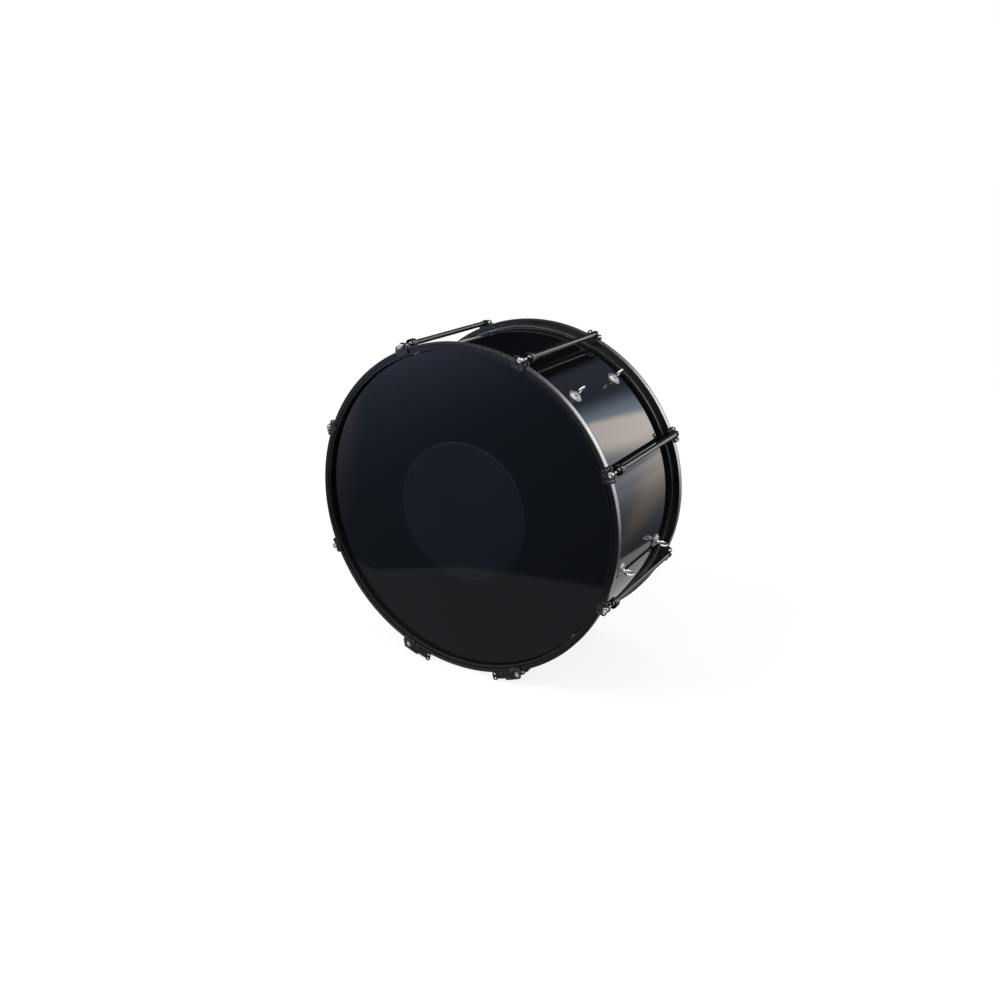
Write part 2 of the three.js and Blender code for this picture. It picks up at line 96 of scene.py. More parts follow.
def arc(centre: tuple[float, float], radius: float, start: float, stop: float, steps: int) -> Outline:
    """Points on an arc. Angles are in degrees, clockwise from the second coordinate's direction.

    Args:
        centre: The arc's centre.
        radius: Its radius.
        start: The first point's angle.
        stop: The last point's angle.
        steps: How many steps lie between them.

    Returns:
        The points, both ends included.
    """
    angles = [math.radians(start + (stop - start) * step / steps) for step in range(steps + 1)]
    return [(centre[0] + radius * math.sin(a), centre[1] + radius * math.cos(a)) for a in angles]


class Bench:
    """The modelling moves that all sub-assemblies share. They act on one mesh at a time."""

    @staticmethod
    def clear() -> None:
        """Leaves edit mode and selects nothing."""
        if bpy.context.object and bpy.context.object.mode != "OBJECT":
            bpy.ops.object.mode_set(mode="OBJECT")
        bpy.ops.object.select_all(action="DESELECT")

    @staticmethod
    def take(piece: Piece) -> None:
        """Makes one piece the only selected one, and active.

        Args:
            piece: The piece.
        """
        Bench.clear()
        piece.select_set(True)
        bpy.context.view_layer.objects.active = piece

    @staticmethod
    def named(name: str) -> Piece:
        """Names the active object and its mesh.

        Args:
            name: The piece's name.

        Returns:
            The object.
        """
        piece = bpy.context.object
        piece.name = name
        piece.data.name = name
        return piece

    @staticmethod
    def chain(name: str, points: Sequence[Vector], closed: bool) -> Piece:
        """Draws a line of edges by extruding one vertex from point to point.

        Args:
            name: The piece's name.
            points: The corners in order.
            closed: Whether the last corner joins the first.

        Returns:
            The piece, left in edit mode with all of it selected.
        """
        Bench.clear()
        bpy.ops.mesh.primitive_plane_add(size=MM, location=(0, 0, 0))
        piece = Bench.named(name)
        bpy.ops.object.mode_set(mode="EDIT")
        bpy.ops.mesh.select_all(action="SELECT")
        bpy.ops.mesh.merge(type="CENTER")
        bpy.ops.transform.translate(value=points[0])
        corners = [*points, points[0]] if closed else list(points)
        for here, there in zip(corners, corners[1:]):
            bpy.ops.mesh.extrude_vertices_move(TRANSFORM_OT_translate={"value": there - here})
        bpy.ops.mesh.select_all(action="SELECT")
        bpy.ops.mesh.remove_doubles(threshold=MM / 1000)
        return piece

    @staticmethod
    def finish_mesh(piece: Piece, smooth_deg: float = 35) -> Piece:
        """Merges doubles, turns the faces outwards and shades them smooth up to an angle.

        Args:
            piece: The piece.
            smooth_deg: Edges sharper than this stay sharp.

        Returns:
            The same piece.
        """
        Bench.take(piece)
        bpy.ops.object.mode_set(mode="EDIT")
        bpy.ops.mesh.select_all(action="SELECT")
        bpy.ops.mesh.remove_doubles(threshold=MM / 1000)
        bpy.ops.mesh.normals_make_consistent(inside=False)
        bpy.ops.object.mode_set(mode="OBJECT")
        bpy.ops.object.shade_smooth_by_angle(angle=math.radians(smooth_deg))
        return piece

    @staticmethod
    def spun(name: str, points: Sequence[Vector], centre: Vector, axis: Vector, steps: int,
             closed: bool = True) -> Piece:
        """Spins a drawn outline all the way round an axis.

        Args:
            name: The piece's name.
            points: The outline's corners.
            centre: A point of the axis.
            axis: The axis's direction.
            steps: How many steps the turn has.
            closed: Whether the outline is a closed loop. An open one ends on the axis.

        Returns:
            The finished mesh's object.
        """
        piece = Bench.chain(name, points, closed)
        bpy.ops.mesh.spin(steps=steps, angle=2 * math.pi, center=centre, axis=axis)
        return Bench.finish_mesh(piece)

    @staticmethod
    def slab(name: str, points: Sequence[Vector], depth: Vector) -> Piece:
        """Fills a closed outline and extrudes it.

        Args:
            name: The piece's name.
            points: The outline's corners.
            depth: How far and which way it is extruded.

        Returns:
            The finished mesh's object.
        """
        piece = Bench.chain(name, points, True)
        bpy.ops.mesh.edge_face_add()
        bpy.ops.mesh.extrude_region_move(TRANSFORM_OT_translate={"value": depth})
        return Bench.finish_mesh(piece)

    @staticmethod
    def combine(piece: Piece, other: Piece, operation: str) -> None:
        """Joins or cuts a piece with another, which is used up.

        Args:
            piece: The piece that stays.
            other: The piece that joins or cuts it.
            operation: UNION or DIFFERENCE.
        """
        Bench.take(piece)
        modifier = piece.modifiers.new("combine", "BOOLEAN")
        modifier.operation = operation
        modifier.solver = "EXACT"
        modifier.object = other
        bpy.ops.object.modifier_apply(modifier=modifier.name)
        bpy.data.objects.remove(other, do_unlink=True)

    @staticmethod
    def drill(piece: Piece, start: Vector, way: Vector, radius: float,
              sides: int = 24) -> None:
        """Cuts a round or many-sided hole.

        Args:
            piece: The piece to cut.
            start: The middle of the hole's first end.
            way: Its direction and length.
            radius: Its radius.
            sides: How many sides it has.
        """
        Bench.clear()
        bpy.ops.mesh.primitive_cylinder_add(
            vertices=sides, radius=radius, depth=way.length, location=start + way / 2,
            rotation=way.to_track_quat("Z", "Y").to_euler())
        cutter = Bench.named("cutter")
        bpy.ops.object.transform_apply(location=True, rotation=True, scale=True)
        Bench.combine(piece, cutter, "DIFFERENCE")

    @staticmethod
    def soften(piece: Piece, width: float, segments: int = 2,
               limit_deg: float = 40) -> Piece:
        """Rounds a piece's sharp edges.

        Args:
            piece: The piece.
            width: The rounding's width.
            segments: How many faces it has.
            limit_deg: Edges sharper than this are rounded.

        Returns:
            The same piece.
        """
        Bench.take(piece)
        modifier = piece.modifiers.new("soften", "BEVEL")
        modifier.width = width
        modifier.segments = segments
        modifier.limit_method = "ANGLE"
        modifier.angle_limit = math.radians(limit_deg)
        modifier.use_clamp_overlap = True
        modifier.harden_normals = False
        bpy.ops.object.modifier_apply(modifier=modifier.name)
        return Bench.finish_mesh(piece)

    @staticmethod
    def copy(piece: Piece, name: str, place: Matrix) -> Piece:
        """Copies a piece with a mesh of its own, moved by a matrix that is then applied.

        Args:
            piece: The piece that is copied.
            name: The copy's name.
            place: Where it goes.

        Returns:
            The copy.
        """
        Bench.take(piece)
        bpy.ops.object.duplicate(linked=False)
        made = Bench.named(name)
        made.matrix_world = place
        bpy.ops.object.transform_apply(location=True, rotation=True, scale=True)
        if place.determinant() < 0:
            bpy.ops.object.mode_set(mode="EDIT")
            bpy.ops.mesh.select_all(action="SELECT")
            bpy.ops.mesh.normals_make_consistent(inside=False)
            bpy.ops.object.mode_set(mode="OBJECT")
        return made

    @staticmethod
    def drop(piece: Piece) -> None:
        """Deletes a pattern piece once its copies are made."""
        bpy.data.objects.remove(piece, do_unlink=True)


def round_drum(degrees: float) -> Matrix:
    """The turn about the drum's axis that takes the top to an angle, measured from +X up to +Z.

    Args:
        degrees: The angle.

    Returns:
        The turn as a matrix.
    """
    turn = Matrix.Rotation(math.radians(90 - degrees), 4, "Y")
    return Matrix.Translation(AXIS) @ turn @ Matrix.Translation(-AXIS)


def other_end(end: End) -> Matrix:
    """Nothing for the front, and a mirror in the drum's middle plane for the rear."""
    return Matrix.Identity(4) if end is End.FRONT else Matrix.Scale(-1, 4, Vector((0, 1, 0)))


def ring(name: str, outline: Outline, end: End, closed: bool = True) -> Piece:
    """Spins an outline of radius and distance from the drum's middle round the drum's axis.

    Args:
        name: The piece's name.
        outline: The outline.
        end: Which end it lies on.
        closed: Whether it is a closed loop.

    Returns:
        The piece.
    """
    points = [AXIS + Vector((0, end.value * reach, radius)) for radius, reach in outline]
    return Bench.spun(name, points, AXIS, ALONG, RING_STEPS, closed)


def stem(name: str, outline: Outline, steps: int, closed: bool = True) -> Piece:
    """Spins an outline of radius and height round the vertical through the drum's middle.

    Args:
        name: The piece's name.
        outline: The outline.
        steps: How many steps the turn has.
        closed: Whether it is a closed loop.

    Returns:
        The piece.
    """
    points = [AXIS + Vector((wide, 0, height)) for wide, height in outline]
    return Bench.spun(name, points, AXIS, UP, steps, closed)


def at_top(across: float, out: float, reach: float, radius: float) -> Vector:
    """A point at the top of the drum's front.

    Args:
        across: Its distance to the right of the top.
        out: Its height above the radius.
        reach: Its distance from the drum's middle.
        radius: The radius that out is measured from.

    Returns:
        The point in the row frame.
    """
    return AXIS + Vector((across, -reach, radius + out))


@dataclass(frozen=True)
class Value:
    """An output of a node, for sums that are written as with plain numbers."""

    nodes: "Nodes"
    socket: bpy.types.NodeSocket

    def __add__(self, other: "Value | float") -> "Value":
        """The sum."""
        return self.nodes.math("ADD", self, other)

    def __sub__(self, other: "Value | float") -> "Value":
        """The difference."""
        return self.nodes.math("SUBTRACT", self, other)

    def __mul__(self, other: "Value | float") -> "Value":
        """The product."""
        return self.nodes.math("MULTIPLY", self, other)

    def __truediv__(self, other: "Value | float") -> "Value":
        """The quotient."""
        return self.nodes.math("DIVIDE", self, other)

    def __pow__(self, other: float) -> "Value":
        """The power."""
        return self.nodes.math("POWER", self, other)

    def __abs__(self) -> "Value":
        """The value without its sign."""
        return self.nodes.math("ABSOLUTE", self)

    def root(self) -> "Value":
        """The square root."""
        return self.nodes.math("SQRT", self)

    def at_least(self, low: "Value | float") -> "Value":
        """The larger of the two."""
        return self.nodes.math("MAXIMUM", self, low)

    def at_most(self, high: "Value | float") -> "Value":
        """The smaller of the two."""
        return self.nodes.math("MINIMUM", self, high)

    def spread(self, low: float, high: float, start: float = 0.0, stop: float = 1.0) -> "Value":
        """Takes the value from one range to another, smoothly and without passing its ends.

        Args:
            low: Where the first range starts.
            high: Where it stops.
            start: Where the second range starts.
            stop: Where it stops.

        Returns:
            The result.
        """
        return self.nodes.value("MapRange", {0: self, 1: low, 2: high, 3: start, 4: stop},
                                interpolation_type="SMOOTHSTEP")


class Nodes:
    """Adds and joins nodes in one tree."""

    def __init__(self, tree: bpy.types.NodeTree) -> None:
        """Keeps the tree and empties it."""
        self.tree = tree
        tree.nodes.clear()

    def add(self, kind: str, links: dict[int | str, object] | None = None,
            **settings: object) -> bpy.types.Node:
        """Adds a node.

        Args:
            kind: The node's type, without the leading ShaderNode.
            links: What its inputs get, by name or number: a value to join or a number to set.
            **settings: The node's own properties.

        Returns:
            The node.
        """
        stem = kind if kind.startswith("NodeGroup") else f"ShaderNode{kind}"
        node = self.tree.nodes.new(stem)
        for name, value in settings.items():
            setattr(node, name, value)
        for key, value in (links or {}).items():
            self.feed(node.inputs[key], value)
        return node

    def value(self, kind: str, links: dict[int | str, object] | None = None,
              output: int | str = 0, **settings: object) -> Value:
        """Adds a node for one of its outputs.

        Args:
            kind: The node's type, without the leading ShaderNode.
            links: What its inputs get.
            output: The output, by name or number.
            **settings: The node's own properties.

        Returns:
            That output.
        """
        return Value(self, self.add(kind, links, **settings).outputs[output])

    def feed(self, socket: bpy.types.NodeSocket, value: object) -> None:
        """Joins an input to an output, or sets its value.

        Args:
            socket: The input.
            value: An output, or a plain value.
        """
        if isinstance(value, Value):
            self.tree.links.new(value.socket, socket)
        else:
            socket.default_value = value

    def outputs(self, node: bpy.types.Node) -> dict[str, Value]:
        """All outputs of a node, by name."""
        return {socket.name: Value(self, socket) for socket in node.outputs if socket.name}

    def parts(self, vector: Value) -> list[Value]:
        """The three coordinates of a vector."""
        return list(self.outputs(self.add("SeparateXYZ", {0: vector})).values())

    def math(self, operation: str, first: object, second: object = 0.0,
             clamp: bool = False) -> Value:
        """One sum on two values.

        Args:
            operation: Blender's name for it.
            first: The first value or number.
            second: The second value or number.
            clamp: Whether the result is kept between 0 and 1.

        Returns:
            The result.
        """
        return self.value("Math", {0: first, 1: second}, operation=operation, use_clamp=clamp)

    def mix(self, factor: Value, first: object, second: object) -> Value:
        """Mixes two colours.

        Args:
            factor: How much of the second one there is.
            first: The first colour, as a value or as numbers.
            second: The second colour, likewise.

        Returns:
            The mixed colour.
        """
        first, second = (colour if isinstance(colour, Value) else (*colour, 1.0)
                         for colour in (first, second))
        return self.value("Mix", {0: factor, 6: first, 7: second}, 2, data_type="RGBA")

    def noise(self, vector: Value, scale: object, detail: float = 3.0,
              roughness: float = 0.5) -> Value:
        """A noise value over a vector.

        Args:
            vector: The place.
            scale: How many features fit in a metre.
            detail: How many layers it has.
            roughness: How strong the finer layers are.

        Returns:
            The noise.
        """
        return self.value("TexNoise", {"Vector": vector, "Scale": scale, "Detail": detail,
                                       "Roughness": roughness})

    def shiny(self) -> Value:
        """1 to rays that a polished or clear surface sends out, and 0 to all others."""
        light = self.outputs(self.add("LightPath"))
        return light["Is Glossy Ray"].at_least(light["Is Transmission Ray"])


@dataclass
class Effect:
    """A node group that all finishes share, built on its first use."""

    name: str
    build: Callable[[Nodes, dict[str, Value]], dict[str, Value]]
    inputs: dict[str, float]
    tree: bpy.types.NodeTree | None = None

    def make(self) -> None:
        """Builds the group from its function."""
        self.tree = bpy.data.node_groups.new(self.name, "ShaderNodeTree")
        faces = self.tree.interface
        faces.new_socket("Vector", in_out="INPUT", socket_type="NodeSocketVector")
        for title, start in self.inputs.items():
            socket = faces.new_socket(title, in_out="INPUT", socket_type="NodeSocketFloat")
            socket.default_value = start
        nodes = Nodes(self.tree)
        results = self.build(nodes, nodes.outputs(nodes.add("NodeGroupInput")))
        for title in results:
            faces.new_socket(title, in_out="OUTPUT", socket_type="NodeSocketFloat")
        nodes.add("NodeGroupOutput", results)

    def on(self, nodes: Nodes, place: Value, **amounts: float) -> dict[str, Value]:
        """Puts the effect in a material.

        Args:
            nodes: The material's nodes.
            place: The place that the effect follows.
            **amounts: What the group's plain inputs get.

        Returns:
            The group's outputs by name.
        """
        if self.tree is None:
            self.make()
        return nodes.outputs(nodes.add("Group", {"Vector": place, **amounts}, node_tree=self.tree))


def cloud(nodes: Nodes, inlet: dict[str, Value]) -> dict[str, Value]:
    """Slow changes of shade and gloss, with faint fingerprints of finer ones.

    Args:
        nodes: The group's nodes.
        inlet: Its inputs by name.

    Returns:
        What its outputs get.
    """
    slow = nodes.noise(inlet["Vector"], inlet["Scale"], 3.0, 0.55)
    quick = nodes.noise(inlet["Vector"], inlet["Scale"] * 7.3, 4.0, 0.6)
    return {"Shade": slow.spread(0.35, 0.68), "Gloss": slow * 0.6 + quick * 0.4 - 0.5}


def hairlines(nodes: Nodes, inlet: dict[str, Value]) -> dict[str, Value]:
    """Short fine scratches, in patches.

    Args:
        nodes: The group's nodes.
        inlet: Its inputs by name.

    Returns:
        What its output gets.
    """
    vector = inlet["Vector"]
    warp = nodes.value("TexNoise", {"Vector": vector, "Scale": 9.0, "Detail": 2.0}, 1)
    moved = nodes.value("VectorMath", {0: vector, 1: warp}, operation="ADD")
    lines = nodes.value("TexVoronoi", {"Vector": moved, "Scale": inlet["Scale"], "Randomness": 1.0},
                        feature="DISTANCE_TO_EDGE")
    patch = nodes.noise(vector, 23.0).spread(0.56, 0.7)
    return {"Mask": lines.spread(0.0, 0.012, 1.0, 0.0) * patch * inlet["Amount"]}


def edge_wear(nodes: Nodes, inlet: dict[str, Value]) -> dict[str, Value]:
    """Where an outer edge is rubbed, broken up by noise.

    Args:
        nodes: The group's nodes.
        inlet: Its inputs by name.

    Returns:
        What its output gets.
    """
    edge = nodes.value("NewGeometry", output="Pointiness").spread(0.53, 0.62)
    rub = nodes.noise(inlet["Vector"], 160.0, 4.0, 0.6).spread(0.38, 0.66)
    return {"Mask": edge * rub * inlet["Amount"]}


def settled(nodes: Nodes, inlet: dict[str, Value]) -> dict[str, Value]:
    """A little dust on faces that look up.

    Args:
        nodes: The group's nodes.
        inlet: Its inputs by name.

    Returns:
        What its output gets.
    """
    lying = nodes.parts(nodes.value("NewGeometry", output="Normal"))[2].spread(0.2, 1.0)
    specks = nodes.noise(inlet["Vector"], 900.0, 2.0).spread(0.55, 0.75)
    return {"Mask": lying * specks * inlet["Amount"]}


def turned(nodes: Nodes, inlet: dict[str, Value]) -> dict[str, Value]:
    """Fine lines round the drum's axis, as drawing or turning leaves them.

    Args:
        nodes: The group's nodes.
        inlet: Its inputs by name.

    Returns:
        What its output gets.
    """
    x, y, z = nodes.parts(inlet["Vector"])
    place = nodes.value("CombineXYZ", {0: (x ** 2.0 + z ** 2.0).root(), 1: y})
    return {"Lines": nodes.noise(place, *Texture.TURNED.value)}


CLOUD = Effect("slow_cloud", cloud, {"Scale": 6.0})
HAIRLINES = Effect("hairline_scratches", hairlines, {"Scale": 60.0, "Amount": 1.0})
EDGE_WEAR = Effect("edge_wear", edge_wear, {"Amount": 1.0})
DUST = Effect("settled_dust", settled, {"Amount": 1.0})
TURNED_LINES = Effect("turned_lines", turned, {})


@dataclass(frozen=True)
class Finish:
    """One procedural finish: its colours, gloss, relief and wear."""

    name: str
    base: Colour
    shade: Colour
    roughness: float
    metallic: float = 0.0
    ior: float = 1.5
    gloss_change: float = 0.05
    cloud_scale: float = 6.0
    texture: Texture = Texture.FLAT
    relief: float = 0.00002
    drawn: Spot = (1.0, 0.06, 1.0)
    worn: Colour = (0.5, 0.5, 0.5)
    edge_wear: float = 0.0
    scratches: float = 0.3
    scratch_rough: float = 0.25
    scratch_depth: float = 0.3
    dust: float = 0.15
    dust_rough: float = 0.5
    dust_tint: Colour = (0.32, 0.31, 0.29)
    made: ClassVar[dict[str, bpy.types.Material]] = {}

    def material(self) -> bpy.types.Material:
        """Builds the material, once.

        Returns:
            The material.
        """
        if self.name in Finish.made:
            return Finish.made[self.name]
        made = bpy.data.materials.new(self.name)
        Finish.made[self.name] = made
        made.use_nodes = True
        nodes = Nodes(made.node_tree)
        place = nodes.value("TexCoord", output="Object")
        place = nodes.value("Mapping", {"Vector": place, "Location": -AXIS})
        slow = CLOUD.on(nodes, place, Scale=self.cloud_scale)
        wear = EDGE_WEAR.on(nodes, place, Amount=self.edge_wear)["Mask"]
        marks = HAIRLINES.on(nodes, place, Amount=self.scratches)["Mask"]
        dust = DUST.on(nodes, place, Amount=self.dust)["Mask"]
        colour = nodes.mix(slow["Shade"], self.base, self.shade)
        colour = nodes.mix(wear, colour, self.worn)
        colour = nodes.mix(dust, colour, self.dust_tint)
        rough = slow["Gloss"] * self.gloss_change + self.roughness + marks * self.scratch_rough
        rough = nodes.math("ADD", rough, dust * self.dust_rough, clamp=True)
        metal = nodes.math("ADD", wear, self.metallic, clamp=True)
        metal = nodes.math("SUBTRACT", metal, dust, clamp=True)
        skin = nodes.value("BsdfPrincipled", {
            "Base Color": colour, "Roughness": rough, "Metallic": metal, "IOR": self.ior,
            "Normal": self.bump(nodes, place, marks)})
        nodes.add("OutputMaterial", {"Surface": skin})
        return made

    def bump(self, nodes: Nodes, place: Value, marks: Value) -> Value:
        """The bump of the finish's own texture, less its scratches.

        Args:
            nodes: The material's nodes.
            place: The place.
            marks: The scratches' mask.

        Returns:
            The normal.
        """
        if self.texture is Texture.TURNED:
            height = TURNED_LINES.on(nodes, place)["Lines"]
        else:
            if self.texture is Texture.BRUSHED:
                place = nodes.value("Mapping", {"Vector": place, "Scale": self.drawn})
            height = nodes.noise(place, *self.texture.value)
        height = height - marks * self.scratch_depth
        return nodes.value("Bump", {"Strength": 1.0, "Distance": self.relief, "Height": height})

    def on(self, piece: Piece) -> None:
        """Gives the whole piece this finish."""
        piece.data.materials.clear()
        piece.data.materials.append(self.material())


LACQUER = Finish("black_lacquer", (0.0035, 0.0038, 0.0045), (0.006, 0.0065, 0.0075), 0.035,
                 gloss_change=0.02, cloud_scale=3.0, relief=0.000001, scratches=0.25, dust=0.02)
FILM = Finish("black_film", (0.001, 0.0015, 0.003), (0.0014, 0.002, 0.0036), 0.05,
              gloss_change=0.03, cloud_scale=2.2, texture=Texture.FILM, relief=0.0001,
              scratches=0.2, dust=0.02)
PATCH = Finish("bonded_patch", (0.0045, 0.0058, 0.0095), (0.0058, 0.0072, 0.0115), 0.06,
               gloss_change=0.03, cloud_scale=4.0, texture=Texture.FILM, relief=0.0001,
               scratches=0.2, dust=0.02)
HOOP_BLACK = Finish("hoop_black", (0.004, 0.004, 0.0045), (0.007, 0.007, 0.008), 0.2,
                    gloss_change=0.1, cloud_scale=14.0, texture=Texture.TURNED, relief=0.000003,
                    edge_wear=0.12, scratches=0.4, dust=0.03, worn=(0.4, 0.4, 0.4))
HOOP_BRIGHT = Finish("hoop_bright_band", (0.52, 0.52, 0.53), (0.45, 0.45, 0.46), 0.3,
                     metallic=1.0, gloss_change=0.1, cloud_scale=20.0, texture=Texture.TURNED,
                     relief=0.000004, scratches=0.4, dust=0.03)
CLAW_COAT = Finish("claw_enamel", (0.005, 0.005, 0.0055), (0.009, 0.009, 0.0095), 0.26,
                   gloss_change=0.15, cloud_scale=60.0, texture=Texture.CAST, relief=0.00002,
                   edge_wear=0.2, scratches=0.3, dust=0.04, worn=(0.3, 0.3, 0.31))
TUBE_BLACK = Finish("tube_enamel", (0.005, 0.005, 0.0055), (0.009, 0.009, 0.01), 0.14,
                    gloss_change=0.08, cloud_scale=40.0, relief=0.000004, edge_wear=0.3,
                    scratches=0.4, dust=0.06, worn=(0.5, 0.5, 0.5))
STEEL = Finish("polished_steel", (0.72, 0.71, 0.69), (0.58, 0.57, 0.55), 0.2, metallic=1.0,
               gloss_change=0.2, cloud_scale=90.0, texture=Texture.BRUSHED, relief=0.000008,
               scratches=0.5, dust=0.03)
SATIN = Finish("satin_nickel", (0.4, 0.4, 0.385), (0.32, 0.32, 0.31), 0.34, metallic=0.8,
               gloss_change=0.15, cloud_scale=110.0, texture=Texture.CAST, relief=0.000004,
               scratches=0.4, dust=0.03)
ALLOY = Finish("mill_alloy", (0.4, 0.4, 0.4), (0.3, 0.3, 0.31), 0.42, metallic=1.0,
               gloss_change=0.2, cloud_scale=30.0, texture=Texture.TURNED, relief=0.00002,
               scratches=0.6, dust=0.1)


def dress(piece: Piece, finish: Finish, body: str, node: str) -> None:
    """Gives a piece its finish, its body and the node it stands for.

    Args:
        piece: The piece.
        finish: Its finish.
        body: The frame's body that it rides on.
        node: The frame's node that it replaces.
    """
    finish.on(piece)
    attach(piece, body)
    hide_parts(node)
    LOG.info("%s made: %d faces", piece.name, len(piece.data.polygons))


@dataclass
class Shell:
    """The lacquered cylinder with a bearing edge at both ends."""

    radius: float = 0.327
    wall: float = 0.005
    reach: float = 0.1524
    edge_round: float = 0.001
    edge_slope: float = 0.004
    hold: float = 0.0005
    eye_hole: float = 0.0033
    vent_hole: float = 0.0067

    def outline(self) -> Outline:
        """The wall's section, with a rounded crest and a slope inside it at both ends.

        Returns:
            The corners as radius and reach. Each long face has a holding ring near its ends.
        """
        crest = (self.radius - self.edge_round, self.reach - self.edge_round)
        inner, slope_end = self.radius - self.wall, self.reach - self.edge_slope
        rear = [(inner, slope_end - self.hold), (inner, slope_end),
                *arc(crest, self.edge_round, 0, 90, 4), (self.radius, crest[1] - self.hold)]
        front = [(radius, -reach) for radius, reach in reversed(rear)]
        return [*rear, *front]

    def build(self, eyes: "EyeScrews", vent: "Vent") -> None:
        """Spins the wall, drills it and dresses it.

        Args:
            eyes: The eye screws, for their holes' places.
            vent: The vent, for its hole's place.
        """
        piece = ring("shell_wall", self.outline(), End.REAR)
        for degrees in eyes.rows.values():
            for end in End:
                self.drill(piece, degrees, end.value * eyes.spacing / 2, self.eye_hole)
        self.drill(piece, vent.degrees, 0.0, self.vent_hole)
        Bench.finish_mesh(piece)
        dress(piece, LACQUER, "drum", "shell")

    def drill(self, piece: Piece, degrees: float, along: float, radius: float) -> None:
        """Cuts one hole through the wall.

        Args:
            piece: The shell.
            degrees: The hole's angle round the drum.
            along: Its place along the drum's axis.
            radius: Its radius.
        """
        angle = math.radians(degrees)
        out = Vector((math.cos(angle), 0, math.sin(angle)))
        start = AXIS + out * (self.radius - 3 * self.wall) + Vector((0, along, 0))
        Bench.drill(piece, start, out * 5 * self.wall, radius)


@dataclass
class Heads:
    """The two films with their rolled collars, the front one's patch, and the flesh hoops."""

    film: float = 0.0005
    inner: float = 0.1527
    collar_radius: float = 0.3273
    collar_end: float = 0.1400
    roll: float = 0.0016
    hold: float = 0.0006
    patch_radius: float = 0.144
    patch_low: float = 0.15325
    patch_high: float = 0.154
    patch_round: float = 0.0003
    hoop_inner: float = 0.3281
    hoop_outer: float = 0.332
    hoop_low: float = 0.1395
    hoop_high: float = 0.1487
    hoop_round: float = 0.0008

    def film_outline(self) -> Outline:
        """The film from its middle over the roll and down the collar, and back inside.

        Returns:
            The corners as radius and reach. Each flat face has a holding ring by the roll.
        """
        outer, inner = self.collar_radius + self.film, self.collar_radius
        top = self.inner + self.film
        roll_at = (outer - self.roll, top - self.roll)
        over = arc(roll_at, self.roll, 0, 90, 6)
        under = arc(roll_at, self.roll - self.film, 90, 0, 6)
        flat, low = roll_at[0] - self.hold, roll_at[1] - self.hold
        return [(0.0, top), (flat, top), *over, (outer, low), (outer, self.collar_end),
                (inner, self.collar_end), (inner, low), *under, (flat, self.inner),
                (0.0, self.inner)]

    def build(self) -> None:
        """Spins and dresses both ends' pieces."""
        for end in End:
            film = ring(f"{end.word}_film", self.film_outline(), end, closed=False)
            dress(film, FILM, "drum", f"{end.word}_head")
            corner = self.hoop_round
            outline = [(self.hoop_inner, self.hoop_low),
                       *arc((self.hoop_outer - corner, self.hoop_low + corner), corner, 180, 90, 3),
                       *arc((self.hoop_outer - corner, self.hoop_high - corner), corner, 90, 0, 3),
                       (self.hoop_inner, self.hoop_high)]
            tucked = ring(f"{end.word}_flesh_ring", outline, end)
            dress(tucked, ALLOY, "drum", f"{end.word}_flesh_hoop")
        edge_at = (self.patch_radius - self.patch_round, self.patch_high - self.patch_round)
        outline = [(0.0, self.patch_high), (edge_at[0] - self.hold, self.patch_high),
                   *arc(edge_at, self.patch_round, 0, 90, 3), (self.patch_radius, self.patch_low),
                   (0.0, self.patch_low)]
        patch = ring("centre_patch", outline, End.FRONT, closed=False)
        dress(patch, PATCH, "drum", "head_patch")


